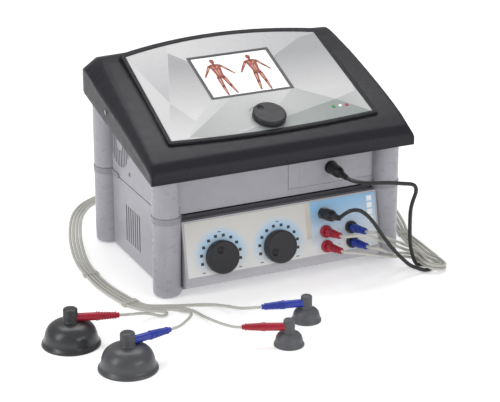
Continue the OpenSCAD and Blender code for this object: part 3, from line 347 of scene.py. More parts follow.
# Printed facets of the faceplate: outline, then colour and place at each end of its fade
FACETS = [
    ([(-160, 190), (-146.9, 187), (-122.6, 77.3), (-145, -10), (-165, -10)],
     "#f4f4f5", (-150, 170), "#e9e9ec", (-140, 20)),
    ([(-147, 187), (-122.6, 77.3), (-74, 215), (-147, 215)],
     "#f2f2f3", (-140, 200), "#d9d9dc", (-110, 110)),
    ([(-84, 183.4), (-122.6, 77.3), (-102.2, 33.3), (-62, 73), (-62, 158)],
     "#c2c2c5", (-80, 150), "#fafafa", (-98, 42)),
    ([(-122.6, 77.3), (-152.9, 0.7), (-123.3, 2.6), (-102.2, 33.3)],
     "#dcdcdf", (-122, 70), "#fbfbfb", (-135, 8)),
    ([(-123.3, 2.6), (-72.3, -7.9), (-10, 12), (61, 40), (61, 73), (-33.3, 70.5)],
     "#c9cccb", (-100, -5), "#eeeeef", (40, 70)),
    ([(-150, -12), (-72.3, -7.9), (110.5, 35.9), (149.6, 0.2), (149.6, -12)],
     "#c6cac9", (-60, 0), "#aeb5b3", (90, 20)),
    ([(-72.3, -7.9), (0, -12), (149.6, -12), (149.6, 0.2), (110.5, 35.9)],
     "#c9cdcc", (-60, 0), "#a9b1af", (100, 20)),
    ([(60.9, 73.1), (0, 20), (110.5, 35.9)],
     "#dfe0e0", (20, 30), "#d0d2d2", (100, 50)),
    ([(60.9, 73.1), (110.5, 35.9), (145.8, 47.5), (160, 120), (145, 184.8), (116.4, 178.4),
      (63.8, 145.8)],
     "#bfc0c3", (110, 150), "#f0f0f1", (112, 62)),
    ([(110.5, 35.9), (149.6, 0.2), (165, 30), (145.8, 47.5)],
     "#cfd2d1", (120, 30), "#dfe1e1", (150, 30)),
]


# Share of black mixed into the whole faceplate as painted shade, holding down the strong light on its
# upward face
PAINTED_SHADE_SHARE = 0.36


def faceplate_material():
    """Pale metallic print divided into softly shaded facets."""
    shade = Shade("faceplate_print")
    x, s = plate.coordinates(shade)
    colour = shade.mix(ramp(shade, x, s, (-60, 205), (120, 120)), srgb("#f3f3f4"), srgb("#d3d4d6"))
    for corners, from_colour, start, to_colour, end in FACETS:
        fade = shade.mix(ramp(shade, x, s, start, end), srgb(from_colour), srgb(to_colour))
        colour = shade.mix(inside(shade, x, s, corners), colour, fade)
    # Painted shade: the whole faceplate is darkened to make up for the light falling on it from above
    colour = shade.mix(PAINTED_SHADE_SHARE, colour, (0, 0, 0, 1))
    finish_shade(shade, colour, 0.3, grain=2400, grain_depth=0.000008, mottle=0.01, wear=0.0)
    shade.bsdf.inputs["Specular IOR Level"].default_value = 0.25
    return shade.material


def halo(shade, x, s, centre, radius):
    """Soft round patch, strongest above its centre."""
    dx = shade.math("SUBTRACT", x, centre[0])
    ds = shade.math("SUBTRACT", s, centre[1])
    away = shade.math("SQRT", shade.math("ADD", shade.math("MULTIPLY", dx, dx),
                                         shade.math("MULTIPLY", ds, ds)))
    disc = shade.remap(away, radius - 7, radius + 3, 1.0, 0.0)
    fade = shade.remap(s, centre[1] - 12, centre[1] + 22, 1.0, 0.0)
    return shade.math("MULTIPLY", disc, fade)


HALO_RADIUS = 39
# Corners on the front panel in millimetres: the beige strip, and the field with the sockets
BEIGE_STRIP = [(36, 3), (43.5, 3), (43.5, 54), (36, 54)]
BLUE_FIELD = [(43.5, -5), (150, -5), (150, 90), (43.5, 90)]


def overlay_material():
    """Warm grey field, blue halos round the knobs, blue field behind the sockets."""
    shade = Shade("panel_print")
    x, s = panel.coordinates(shade)
    colour = shade.mix(ramp(shade, x, s, (0, 5), (0, 76)), srgb("#cbc9c4"), srgb("#dededd"))
    for knob_x in KNOB_X:
        colour = shade.mix(halo(shade, x, s, (knob_x, KNOB_S), HALO_RADIUS), colour, srgb("#b3d0e6"))
    colour = shade.mix(inside(shade, x, s, BEIGE_STRIP), colour, srgb("#c9c4b6"))
    field = inside(shade, x, s, BLUE_FIELD)
    sky = shade.mix(ramp(shade, x, s, (90, 10), (98, 66)), srgb("#8fbde2"), srgb("#dfe2e5"))
    colour = shade.mix(field, colour, sky)
    finish_shade(shade, colour, 0.36, grain=2200, grain_depth=0.00001, mottle=0.02, wear=0.0)
    return shade.material


def build_mesh(name, vertices, faces, material, body="root"):
    """A piece of the visual model that rides on a body."""
    mesh = bpy.data.meshes.new(name)
    mesh.from_pydata([tuple(v) for v in vertices], [], faces)
    mesh.validate()
    mesh.materials.append(material)
    piece = bpy.data.objects.new(name, mesh)
    bpy.context.collection.objects.link(piece)
    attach(piece, body)
    return piece


def print_on(name, plane, outlines, height, thickness, material):
    """Flat printed shapes as thin closed solids standing on a panel."""
    vertices, faces = [], []
    for outline in outlines:
        first, count = len(vertices), len(outline)
        vertices += [plane.at(x, s, height) for x, s in outline]
        vertices += [plane.at(x, s, height + thickness) for x, s in outline]
        faces.append([first + i for i in reversed(range(count))])
        faces.append([first + count + i for i in range(count)])
        for i in range(count):
            j = (i + 1) % count
            faces.append([first + i, first + j, first + count + j, first + count + i])
    piece = build_mesh(name, vertices, faces, material)
    fix_normals(piece.data)
    return piece


def fix_normals(mesh):
    """Turns every face of a closed mesh outwards."""
    work = bmesh.new()
    work.from_mesh(mesh)
    bmesh.ops.recalc_face_normals(work, faces=work.faces)
    work.to_mesh(mesh)
    work.free()


def rectangle(x, s, width, height, angle=0.0):
    """Corners of a rectangle centred on x, s and turned by an angle in degrees."""
    c, k = math.cos(math.radians(angle)), math.sin(math.radians(angle))
    return [(x + u * c - v * k, s + u * k + v * c)
            for u, v in ((-width / 2, -height / 2), (width / 2, -height / 2),
                         (width / 2, height / 2), (-width / 2, height / 2))]


def arc_band(centre, radius, width, start, end, parts=24):
    """Outline of a curved line; angles in degrees, counter-clockwise from +x."""
    turns = [math.radians(start + (end - start) * i / parts) for i in range(parts + 1)]
    outer = [(centre[0] + (radius + width / 2) * math.cos(a),
              centre[1] + (radius + width / 2) * math.sin(a)) for a in turns]
    inner = [(centre[0] + (radius - width / 2) * math.cos(a),
              centre[1] + (radius - width / 2) * math.sin(a)) for a in reversed(turns)]
    return outer + inner


def limb(a, b, wide_a, wide_b, parts=6):
    """Rounded tapering outline from a to b."""
    heading = math.atan2(b[1] - a[1], b[0] - a[0])
    outline = []
    for centre, wide, from_angle in ((b, wide_b, -90), (a, wide_a, 90)):
        for i in range(parts + 1):
            turn = heading + math.radians(from_angle + 180 * i / parts)
            outline.append((centre[0] + wide * math.cos(turn), centre[1] + wide * math.sin(turn)))
    return outline


# ---------------------------------------------------------------- screen

def ink(name, code, glow=0.0):
    """Flat printed colour, with a little light of its own if it is on the screen."""
    shade = Shade(name)
    finish_shade(shade, srgb(code), 0.45, mottle=0.06, wear=0.0, grain_depth=0.000005)
    if glow:
        shade.bsdf.inputs["Emission Color"].default_value = srgb(code)
        shade.bsdf.inputs["Emission Strength"].default_value = glow
    return shade.material


def figure_points(x, s, size, mirror):
    """Turns a figure's own coordinates, from its hips, into x and s on the faceplate."""
    return lambda u, v: (x + mirror * u * size, s + v * size)


def figure(x, s, size, mirror):
    """Outlines of a plain standing figure: head, trunk, arms and legs."""
    p = figure_points(x, s, size, mirror)
    return [
        limb(p(0, 34.5), p(0, 37.5), 3.1 * size, 3.3 * size),
        limb(p(0, 28), p(0, 33), 1.7 * size, 1.7 * size),
        [p(-8.5, 27.5), p(-6.5, 15), p(-5.2, 7), p(-6.8, -1), p(6.8, -1),
         p(5.2, 7), p(6.5, 15), p(8.5, 27.5), p(5, 30), p(-5, 30)][::mirror],
        limb(p(-8.2, 26), p(-15, 15), 2.3 * size, 1.8 * size),
        limb(p(-15, 15), p(-21.5, 5), 1.8 * size, 1.2 * size),
        limb(p(8.2, 26), p(15.5, 15.5), 2.3 * size, 1.8 * size),
        limb(p(15.5, 15.5), p(22, 5.5), 1.8 * size, 1.2 * size),
        limb(p(-3.6, -1), p(-4.6, -19), 3.3 * size, 2.4 * size),
        limb(p(-4.6, -19), p(-4.8, -37), 2.5 * size, 1.4 * size),
        limb(p(3.6, -1), p(6.4, -18), 3.3 * size, 2.4 * size),
        limb(p(6.4, -18), p(9.4, -35), 2.5 * size, 1.4 * size),
    ]


def highlights(x, s, size, mirror):
    """Lighter bands over the muscles of a figure."""
    p = figure_points(x, s, size, mirror)
    bands = [((-3.6, 25), (-1.2, 21)), ((3.6, 25), (1.2, 21)), ((-2, 17), (-1.2, 6)), ((2, 17), (1.2, 6)),
             ((-4, -3), (-4.6, -16)), ((4.4, -3), (6.2, -15)), ((-5, -22), (-4.8, -32)),
             ((7, -21), (8.6, -31)), ((-10.2, 22.6), (-13.6, 17.4)), ((10.4, 22.6), (14, 17.6))]
    return [limb(p(*a), p(*b), 0.75 * size, 0.4 * size, 4) for a, b in bands]


DISPLAY_RIM = 4.5
SCREEN_S = 119.0
SCREEN_HALF_H = 44.0
FIGURE_S = 115.5
FIGURE_SIZE = 1.02
# Figure: x of its middle, and 1 or -1 for its way round
FIGURES = {"front": (-29.5, 1), "back": (26, -1)}


def add_screen():
    """Lit picture with two body figures, inside a dark bezel."""
    low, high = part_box("display_module")
    half_w = (high.x - low.x) / MM / 2 - DISPLAY_RIM
    glass = Shade("screen_glow")
    x, s = plate.coordinates(glass)
    tone = glass.mix(ramp(glass, x, s, (-50, 160), (50, 78)), srgb("#d6d8da"), srgb("#dcdddd"))
    finish_shade(glass, tone, 0.16, grain_depth=0.000002, mottle=0.01, wear=0.0)
    glass.put(glass.bsdf.inputs["Emission Color"], tone)
    glass.bsdf.inputs["Emission Strength"].default_value = 0.35
    picture = rectangle(0, SCREEN_S, 2 * half_w - 0.8, 2 * SCREEN_HALF_H - 0.8)
    print_on("screen_picture", plate, [picture], -0.4, 0.12, glass.material)
    red = ink("figure_red", "#8c3a26", glow=0.1)
    light = ink("figure_light", "#cf9b86", glow=0.15)
    for name, (figure_x, mirror) in FIGURES.items():
        body = figure(figure_x, FIGURE_S, FIGURE_SIZE, mirror)
        muscles = highlights(figure_x, FIGURE_S, FIGURE_SIZE, mirror)
        print_on("screen_figure_" + name, plate, body, -0.28, 0.05, red)
        print_on("screen_muscles_" + name, plate, muscles, -0.23, 0.03, light)
    add_screen_bezel(half_w)


def add_screen_bezel(half_w):
    """Dark bezel round the screen: a low ring with a sloped inner edge."""
    width, height = 2 * half_w, 2 * SCREEN_HALF_H
    inner = rectangle(0, SCREEN_S, width - 1, height - 1)
    slope = rectangle(0, SCREEN_S, width + 1.4, height + 1.4)
    outer = rectangle(0, SCREEN_S, width + 8, height + 7)
    rings = [(inner, 0.05), (inner, 0.18), (slope, 0.62), (outer, 0.62), (outer, 0.05)]
    vertices = [plate.at(px, ps, h) for corners, h in rings for px, ps in corners]
    faces = []
    for r in range(len(rings)):
        following = (r + 1) % len(rings)
        for i in range(4):
            j = (i + 1) % 4
            faces.append([r * 4 + i, r * 4 + j, following * 4 + j, following * 4 + i])
    dark = slot_material("black_plastic", "screen_bezel_finish", colour="#303034")
    piece = build_mesh("screen_bezel", vertices, faces, dark)
    fix_normals(piece.data)


# ---------------------------------------------------------------- marks

MARK_COUNT = 10
MARK_RADIUS = 29
MARK_FIRST = -103.05
MARK_STEP = 22.9
# Strokes round a knob: angle from straight up the panel, and radius
STROKES = ((-125, 33), (0, 34), (125, 33))
# One dot beside the upper pair of sockets and two beside the lower pair
SOCKET_DOTS = ((84, 46.5), (82.8, 67.5), (85.2, 67.5))
OVERLAY_TOP = 0.5


def round_knob(x, angle, radius):
    """The point at an angle from straight up the panel, round a knob."""
    turned = math.radians(angle)
    return x + radius * math.sin(turned), KNOB_S - radius * math.cos(turned)


def knob_marks(x):
    """Ten square marks in an arc round a knob, with short strokes at the ends and top."""
    squares = [rectangle(*round_knob(x, MARK_FIRST + MARK_STEP * i, MARK_RADIUS), 4.4, 4.0)
               for i in range(MARK_COUNT)]
    strokes = [rectangle(*round_knob(x, angle, radius), 4.6, 1.2) for angle, radius in STROKES]
    return squares + strokes


def add_marks():
    """Printed marks on the front panel, and the arc over the big dial."""
    dark = ink("mark_ink", "#26282d")
    marks = knob_marks(KNOB_X[0]) + knob_marks(KNOB_X[1])
    marks += [rectangle(x, s, 1.1, 1.1) for x, s in SOCKET_DOTS]
    print_on("panel_marks", panel, marks, OVERLAY_TOP, 0.06, dark)
    white = ink("panel_white", "#f4f6f8")
    squares = [rectangle(135.3, 10.4 + 9.6 * i, 8, 7.6) for i in range(4)]
    print_on("panel_squares", panel, squares, OVERLAY_TOP, 0.05, white)
    blue = ink("dial_arc_ink", "#33507a")
    print_on("dial_arc", plate, [arc_band((0, DIAL_S), 28, 0.9, 13, 140)], 0.0, 0.06, blue)


# ---------------------------------------------------------------- hoses and cable

# Routes in millimetres, the same points as in the CAD part
HOSE_Z = 2.3
LANE = 4.3
CABLE_Z = 2.9
HOSE_D = 4.0
CABLE_D = 5.4
# Middle of the four hoses side by side, from the panel to the cups, and the gap between them
RIBBON = [
    (219, -138, HOSE_Z, 7), (222, -105, HOSE_Z, 6.2), (228, -60, HOSE_Z, LANE), (239, -20, HOSE_Z, 6),
    (253, 28, HOSE_Z, 6), (263, 75, HOSE_Z, 5), (263, 128, HOSE_Z, LANE), (245, 180, HOSE_Z, LANE),
    (211, 222, HOSE_Z, LANE), (162, 252, HOSE_Z, LANE), (100, 271, HOSE_Z, LANE), (30, 280, HOSE_Z, LANE),
    (-40, 279, HOSE_Z, LANE), (-95, 270, HOSE_Z, LANE), (-134, 255, HOSE_Z, 4.6),
    (-162, 231, HOSE_Z, 4.8), (-187, 190, HOSE_Z, 5), (-214, 118, HOSE_Z, 5.2),
    (-232, 47, HOSE_Z, 5.2), (-237, -6, HOSE_Z, 5), (-235, -60, HOSE_Z, 5.4),
    (-223, -118, HOSE_Z, 5.6),
]
# Points of the ribbon that hold a clip
CLIPS = [2, 19, 21]
# The bend at the right where the hoses turn back: its centre and two radii
TURN_AT = (205, -185)
TURN_INNER = 11
TURN_OUTER = 16.5
# Heights above the panel or the option cover at which a hose or the cable leaves its plug
HOSE_EXIT = 40.0
HOSE_LEAD = HOSE_EXIT + 7
LINK_EXIT = 36
LINK_LEAD = LINK_EXIT + 10
PLUG_BEND_R = 10.5
PANEL_FACE_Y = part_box("option_cover")[0].y / MM


def turn(radius, z_from, z_to):
    """Points round the bend at the right, falling or rising evenly."""
    return [(TURN_AT[0] + radius * math.cos(math.radians(190 + 42 * i)),
             TURN_AT[1] + radius * math.sin(math.radians(190 + 42 * i)),
             z_from + (z_to - z_from) * i / 4) for i in range(5)]


def panel_point(socket, height):
    """A point in millimetres straight out from a socket of the front panel."""
    return tuple(panel.at(socket[0], socket[1], height) / MM)


def plug_bend(socket, rise):
    """Two points of the quarter turn that a hose makes in front of its plug."""
    lead = panel_point(socket, HOSE_LEAD)
    return [(lead[0] + PLUG_BEND_R * (1 - math.cos(math.radians(a))),
             lead[1] - PLUG_BEND_R * math.sin(math.radians(a)),
             lead[2] + rise * a / 90) for a in (45, 90)]


RED = [(65, 46.5), (65, 67.5)]
BLUE = [(104, 46.5), (104, 67.5)]
LINK = (65, 21.5)
# From a cup's middle to the end of its plug: the stem's radius, less the seat, and the plug
STEM_R_LARGE = 9.5
STEM_R_SMALL = 7.5
PLUG_SEAT = 3
CUP_PLUG_LENGTH = 50
CUP_LEAD = 14
CUP_EXIT_LARGE = STEM_R_LARGE - PLUG_SEAT + CUP_PLUG_LENGTH
CUP_EXIT_SMALL = STEM_R_SMALL - PLUG_SEAT + CUP_PLUG_LENGTH
# Each hose: socket, run to the ribbon, lane, run to the cup, cup centre and heading, height, reach
HOSES = {
    "rear_small": dict(
        socket=BLUE[0], lanes=1.5, cup=(-31, -261, 168.5), z=25, reach=CUP_EXIT_SMALL,
        start=plug_bend(BLUE[0], 1) + [
            (124, -180, 63), (142, -171, 51), (160, -162, 40), (176, -157, 30), (188, -157, 24.5),
            (194, -163, 20), (194.5, -173, 16)] + turn(TURN_INNER, 14, 7) + [
            (214, -171, 7), (211.5, -156, 4.8)],
        end=[(-205, -136, HOSE_Z), (-189, -144.5, HOSE_Z), (-170, -152.5, HOSE_Z), (-149, -160, HOSE_Z),
             (-127, -172, 3.5), (-115, -191, 7), (-111, -212, 12.5), (-108, -230, 18.5)]),
    "front_small": dict(
        socket=RED[0], lanes=0.5, cup=(-84, -318, 156.5), z=25, reach=CUP_EXIT_SMALL,
        start=plug_bend(RED[0], 2) + [
            (85, -185.5, 71), (99, -185, 68), (114, -182.5, 60), (133, -175, 49), (152, -166, 38),
            (176, -158, 23.5), (188, -157, 18.5), (194, -163, 14.5), (194.5, -173, 11)]
        + turn(TURN_INNER, 9.4, HOSE_Z) + [(217, -171, HOSE_Z), (217.2, -155, HOSE_Z)],
        end=[(-208, -140, HOSE_Z), (-191, -149, HOSE_Z), (-173, -157, HOSE_Z), (-158, -174, HOSE_Z),
             (-152, -202, 3.5), (-150, -231, 9), (-151, -258, 16.5), (-151, -278, 22.5)]),
    "front_large": dict(
        socket=BLUE[1], lanes=-0.5, cup=(-296, -295, 9.4), z=36.5, reach=CUP_EXIT_LARGE,
        start=plug_bend(BLUE[1], 0) + [
            (124, -183, 41.5), (140, -176.5, 33), (155, -169.5, 27), (170, -164.5, 22.3),
            (181, -163, 18.3), (187.5, -167.5, 15.8), (188.7, -177, 14.1)]
        + turn(TURN_OUTER, 13.8, 7) + [(222.5, -171, 7), (223.5, -156, 4.4)],
        end=[(-211, -144, HOSE_Z), (-194, -153.5, HOSE_Z), (-180, -160, HOSE_Z), (-171, -170, HOSE_Z),
             (-166, -182, 4.5), (-168, -196, 9), (-175, -213, 14.5), (-187, -233, 20.5),
             (-203, -256, 27.5), (-214, -272, 33)]),
    "left_large": dict(
        socket=RED[1], lanes=-1.5, cup=(-336, -198, -18), z=36.5, reach=CUP_EXIT_LARGE,
        start=plug_bend(RED[1], 0) + [
            (85, -189.5, 46.8), (100, -189, 42.5), (120, -184, 34.5), (140, -177.5, 27.5),
            (156, -170.5, 21.8), (170, -165, 17.3), (181, -163.7, 13.4), (187.5, -168, 11.2),
            (188.7, -177.5, 9.7)] + turn(TURN_OUTER, 9.4, HOSE_Z) + [
            (225, -169, HOSE_Z), (229, -153, HOSE_Z)],
        end=[(-214, -148, HOSE_Z), (-197, -158.5, HOSE_Z), (-190.6, -164, HOSE_Z),
             (-191.5, -171.5, HOSE_Z), (-197.5, -175.5, HOSE_Z), (-204, -174, 2.8), (-212, -169, 5),
             (-223, -170, 8.5),
             (-236, -178, 14), (-249, -191, 21), (-257, -206, 29), (-262.5, -216.5, 34.5)]),
}
# The cable between the two units, from the upper plug to the lower one
CABLE_ROUTE = [
    (84, -163, 144), (92, -174, 143.5), (104, -182, 143.5), (126, -188, 142.5), (150, -190, 138),
    (162, -190, 135.5), (169, -189.5, 131.5), (171.5, -188, 122), (169, -185.5, 111),
    (167.5, -181, 92), (169.5, -177.5, 60), (173, -174.5, 36), (179.5, -173, 14.5), (185, -172.5, 5.6),
    (192, -169.5, CABLE_Z), (200, -172.5, CABLE_Z), (203.2, -180, CABLE_Z), (200, -187.6, CABLE_Z),
    (192, -190.7, CABLE_Z), (184, -190.7, 4.5), (175, -189.7, 9),
    (163, -190, 16), (141, -189, 39), (122, -189, 64), (106, -189, 88), (94, -189, 102),
    (83, -188.5, 110), (73.5, -185, 110), (67, -177.5, 103),
]


def beside(line, lanes):
    """The line of one hose in the ribbon, beside its middle."""
    result = []
    for i, (x, y, z, gap) in enumerate(line):
        before, after = line[max(i - 1, 0)], line[min(i + 1, len(line) - 1)]
        along = Vector((after[0] - before[0], after[1] - before[1], 0)).normalized()
        result.append((x - along.y * lanes * gap, y + along.x * lanes * gap, z))
    return result


def smooth(route, spacing=3.0, passes=3):
    """Catmull-Rom line through the route with even small steps, then relaxed a little."""
    route = [Vector(p) for p in route]
    line = []
    for i in range(len(route) - 1):
        p0, p1, p2 = route[max(i - 1, 0)], route[i], route[i + 1]
        p3 = route[min(i + 2, len(route) - 1)]
        parts = max(1, round((p2 - p1).length / spacing))
        for k in range(parts):
            t = k / parts
            line.append(0.5 * (2 * p1 + (p2 - p0) * t + (2 * p0 - 5 * p1 + 4 * p2 - p3) * t * t
                               + (3 * p1 - p0 - 3 * p2 + p3) * t ** 3))
    line.append(route[-1])
    for _ in range(passes):
        line = [line[0]] + [(line[i - 1] + 2 * line[i] + line[i + 1]) / 4
                            for i in range(1, len(line) - 1)] + [line[-1]]
    return line


def tube(name, line, diameter, material):
    """A round cord along a line."""
    curve = bpy.data.curves.new(name, "CURVE")
    curve.dimensions = "3D"
    curve.bevel_depth = diameter / 2 * MM
    curve.bevel_resolution = 4
    curve.use_fill_caps = True
    spline = curve.splines.new("POLY")
    spline.points.add(len(line) - 1)
    for point, place in zip(spline.points, line):
        point.co = (*(place * MM), 1)
    spline.use_smooth = True
    curve.materials.append(material)
    piece = bpy.data.objects.new(name, curve)
    bpy.context.collection.objects.link(piece)
    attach(piece, "root")
    return piece


def add_cords():
    """The four hoses from the sockets to the cups, the cable and the hose clips."""
    rubber = slot_material("hose")
    for name, hose in HOSES.items():
        cx, cy, heading = hose["cup"]
        out = (math.cos(math.radians(heading)), math.sin(math.radians(heading)))
        cup_end = [(cx + r * out[0], cy + r * out[1], hose["z"])
                   for r in (hose["reach"] + CUP_LEAD, hose["reach"])]
        line = smooth([panel_point(hose["socket"], HOSE_EXIT), panel_point(hose["socket"], HOSE_LEAD)]
                      + hose["start"] + beside(RIBBON, hose["lanes"]) + hose["end"] + cup_end)
        piece = tube("hose_tube_" + name, line, HOSE_D, rubber)
        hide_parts("hose_" + name)
    add_cable()
    add_clips(rubber)


def add_cable():
    """The cable that links the upper unit to the lower one."""
    low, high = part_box("control_socket")
    socket_x = (low.x + high.x) / 2 / MM
    socket_z = (low.z + high.z) / 2 / MM
    top = [(socket_x, PANEL_FACE_Y - d, socket_z) for d in (LINK_EXIT, LINK_LEAD)]
    line = smooth(top + CABLE_ROUTE + [panel_point(LINK, LINK_LEAD), panel_point(LINK, LINK_EXIT)])
    piece = tube("link_cable_tube", line, CABLE_D, slot_material("cable"))
    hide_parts("link_cable")


CLIP_HALF_LENGTH = 4.5
CLIP_WALL = 1.0
CLIP_SHOULDER = 0.9
CLIP_STEPS = 10


def add_clips(material):
    """Ridged clips that hold the four hoses side by side."""
    for number, index in enumerate(CLIPS):
        x, y, z, gap = RIBBON[index]
        before, after = RIBBON[index - 1], RIBBON[min(index + 1, len(RIBBON) - 1)]
        along = Vector((after[0] - before[0], after[1] - before[1], 0)).normalized()
        side = Vector((-along.y, along.x, 0))
        shoulder = z + CLIP_SHOULDER
        half_w = 2 * gap + CLIP_WALL
        ridges = []
        for lane in (-1.5, -0.5, 0.5, 1.5):
            for k in range(CLIP_STEPS + 1):
                turned = math.pi * k / CLIP_STEPS
                rise = (HOSE_D / 2 + CLIP_WALL - CLIP_SHOULDER) * math.sin(turned) ** 0.6
                ridges.append((lane * gap - gap / 2 * math.cos(turned), shoulder + rise))
        outline = [(-half_w, 0.1), (-half_w, shoulder)] + ridges + [(half_w, shoulder), (half_w, 0.1)]
        vertices = [Vector((x, y, 0)) + side * u + along * end * CLIP_HALF_LENGTH + Vector((0, 0, h))
                    for end in (-1, 1) for u, h in outline]
        count = len(outline)
        faces = [list(range(count))[::-1], [count + i for i in range(count)]]
        faces += [[i, (i + 1) % count, count + (i + 1) % count, count + i] for i in range(count)]
        name = "hose_clip_%d" % (number + 1)
        piece = build_mesh(name, [v * MM for v in vertices], faces, material)
        fix_normals(piece.data)
        if number == 0:
            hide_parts("hose_clips")


# ---------------------------------------------------------------- suction cups

# Outline from the rim up to the foot of the stem, radius and height as shares of the rim's radius
LARGE_BELL = [(1, 0.0), (1.0, 0.045), (0.975, 0.085), (0.925, 0.14), (0.895, 0.24), (0.875, 0.36),
              (0.84, 0.48), (0.775, 0.60), (0.67, 0.70), (0.53, 0.775), (0.36, 0.82)]
SMALL_BELL = [(1, 0.0), (1.0, 0.08), (0.965, 0.16), (0.91, 0.25), (0.885, 0.38), (0.86, 0.52),
              (0.79, 0.67), (0.67, 0.79), (0.52, 0.87), (0.43, 0.90)]
# Cup: bell, wall thickness and stem radius in millimetres
CUPS = {
    "front_large": (LARGE_BELL, 3.0, STEM_R_LARGE), "left_large": (LARGE_BELL, 3.0, STEM_R_LARGE),
    "front_small": (SMALL_BELL, 2.4, STEM_R_SMALL), "rear_small": (SMALL_BELL, 2.4, STEM_R_SMALL),
}


def smooth_2d(points):
    """A smooth line through an outline of radius and height."""
    line = smooth([Vector((r, z, 0)) for r, z in points], spacing=0.025, passes=2)
    return [(p.x, p.y) for p in line]


def cup_profile(bell, rim, height, skin, stem):
    """Outer side upwards from the rim, the stem with fine rings, then down the inside."""
    outer = [(r * rim, max(z, 0.0) * rim) for r, z in smooth_2d(bell)]
    foot = outer[-1]
    fillet = [(stem + 1.6 * (1 - math.sin(a)), foot[1] + 1.6 * (1 - math.cos(a)))
              for a in (math.radians(d) for d in (0, 20, 40, 60, 80))]
    column, z = [], foot[1] + 2.2
    edge = 2.6
    while z < height - edge - 0.6:
        column += [(stem, z), (stem, z + 0.55), (stem - 0.16, z + 0.7), (stem - 0.16, z + 0.95)]
        z += 1.1
    crown = [(stem - edge + edge * math.cos(a), height - edge - 0.5 + edge * math.sin(a))
             for a in (math.radians(d) for d in range(0, 91, 15))]
    top = [(stem * 0.35, height - 0.1), (0.0, height)]
    inside_wall = [(max(r - skin, 0.0), max(z - skin * 0.9, 0.0)) for r, z in outer]
    bowl = [(0.0, inside_wall[-1][1])] + inside_wall[::-1]
    rim_lip = [(rim - skin, 0.0), (rim - 1.0, 0.0)]
    bowl = [p for p in bowl if p[1] > 0.4] + rim_lip
    return outer + [p for p in fillet if p[0] < foot[0]] + column + crown + top, bowl


def lathe(profile, centre, sides=96):
    """A closed outline turned round an upright axis; a point on the axis makes a pole."""
    vertices, rings = [], []
    for r, z in profile:
        if r < 1e-4:
            rings.append([len(vertices)])
            vertices.append(Vector((centre.x, centre.y, z * MM)))
            continue
        ring = []
        for k in range(sides):
            a = 2 * math.pi * k / sides
            ring.append(len(vertices))
            vertices.append(Vector((centre.x + r * MM * math.cos(a),
                                    centre.y + r * MM * math.sin(a), z * MM)))
        rings.append(ring)
    faces = []
    closed = rings + [rings[0]]
    for low, high in zip(closed, closed[1:]):
        for k in range(sides):
            j = (k + 1) % sides
            if len(low) == 1 and len(high) == 1:
                break
            if len(low) == 1:
                faces.append([low[0], high[j], high[k]])
            elif len(high) == 1:
                faces.append([low[k], low[j], high[0]])
            else:
                faces.append([low[k], low[j], high[j], high[k]])
    return vertices, faces


def add_cups():
    """Rubber bells with a hollow bowl and a fine-ringed stem."""
    looks = {
        "front_large": cup_material("cup_large_front", "#4a4b4e", 0.34),
        "left_large": cup_material("cup_large_left", "#333436", 0.3),
        "front_small": cup_material("cup_small_front", "#55565a", 0.48),
        "rear_small": cup_material("cup_small_rear", "#55565a", 0.48),
    }
    for name, (bell, skin, stem) in CUPS.items():
        low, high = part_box(name + "_cup")
        centre = (low + high) / 2
        outer, bowl = cup_profile(bell, (high.x - low.x) / 2 / MM, high.z / MM, skin, stem)
        vertices, faces = lathe(outer + bowl, centre)
        piece = build_mesh("cup_" + name, vertices, faces, looks[name], name + "_cup")
        fix_normals(piece.data)
        piece.data.shade_smooth()
        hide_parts(name + "_cup")


# ---------------------------------------------------------------- materials of the CAD nodes

# Where one light lens ends and the next begins, in millimetres
GREEN_TO_WHITE_X = 105
WHITE_TO_RED_X = 115


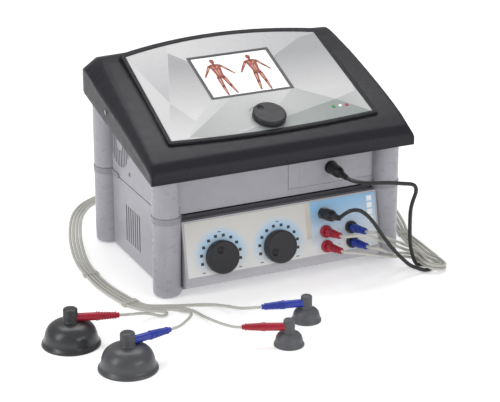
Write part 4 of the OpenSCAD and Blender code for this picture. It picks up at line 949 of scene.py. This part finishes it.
def lights_material():
    """Green, white and red lenses in a row."""
    shade = Shade("light_lenses")
    x = shade.math("MULTIPLY", shade.dot(shade.place, (1, 0, 0)), 1000)
    colour = shade.mix(shade.math("GREATER_THAN", x, GREEN_TO_WHITE_X), srgb("#00803c"), srgb("#e8eae8"))
    colour = shade.mix(shade.math("GREATER_THAN", x, WHITE_TO_RED_X), colour, srgb("#a8002c"))
    finish_shade(shade, colour, 0.2, mottle=0.02, wear=0.0, grain_depth=0.000004)
    shade.put(shade.bsdf.inputs["Emission Color"], colour)
    shade.bsdf.inputs["Emission Strength"].default_value = 0.08
    shade.bsdf.inputs["Specular IOR Level"].default_value = 0.2
    return shade.material


def cup_material(name, code, roughness):
    shade = Shade(name)
    finish_shade(shade, srgb(code), roughness, grain=700, grain_depth=0.00003,
                 mottle=0.22, wear=0.12, wear_colour=(0.3, 0.3, 0.32, 1), spread=0.07)
    return shade.material


def vacuum_front_material():
    """Silver moulding with painted shade: its flat top is painted dark grey for the shadow of the upper
    unit.
    """
    shade = Shade("vacuum_front_painted_shade")
    height = shade.math("MULTIPLY", shade.dot(shade.place, (0, 0, 1)), 1000)
    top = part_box("vacuum_front")[1].z / MM
    facing = shade.dot(shade.node("ShaderNodeNewGeometry").outputs["True Normal"], (0, 0, 1))
    on_top = shade.math("GREATER_THAN", height, top - 1.5)
    mask = shade.math("MULTIPLY", on_top,
                      shade.math("GREATER_THAN", facing, 0.8))
    # Painted shade: faces of the flat top that look upwards are painted dark grey for the shadow of the
    # upper unit
    colour = shade.mix(mask, srgb("#b4b3b8"), srgb("#68686e"))
    return finish_shade(shade, colour, 0.33, grain=1100, wear=0.05)


def glass_material():
    shade = Shade("display_backing")
    return finish_shade(shade, srgb("#30343a"), 0.2, mottle=0.05, wear=0.0)


def dress_nodes():
    """Gives every node of the CAD model the finish of its slot, or one of its own; two of these carry
    painted shade.
    """
    made = {slot: slot_material(slot) for slot in FINISHES if slot not in ("hose", "cable")}
    made["hose"] = bpy.data.materials["hose_finish"]
    made["cable"] = bpy.data.materials["cable_finish"]
    made["faceplate"] = faceplate_material()
    made["overlay"] = overlay_material()
    made["lights"] = lights_material()
    made["display"] = glass_material()
    special = {
        "vacuum_front": vacuum_front_material(),
        # Painted shade: the cover in the gap between the two units is painted dark grey for the shade of
        # the upper unit
        "vacuum_cover": slot_material("casing", "vacuum_cover_painted_shade", colour="#4a4a50", wear=0.05),
        "stacking_collars": slot_material("columns", "collar_finish", colour="#8f8e95", wear=0.1),
    }
    for cup in CUPS:
        special[cup + "_cup"] = bpy.data.objects["cup_" + cup].data.materials[0]
    for entry in record["subparts"]:
        node = nodes[entry["node"]]
        material = special.get(entry["node"]) or made[entry["material_slot"]]
        node.data.materials.clear()
        node.data.materials.append(material)


add_camera()
add_studio()
add_floor()
add_cords()
add_cups()
add_screen()
add_marks()
dress_nodes()
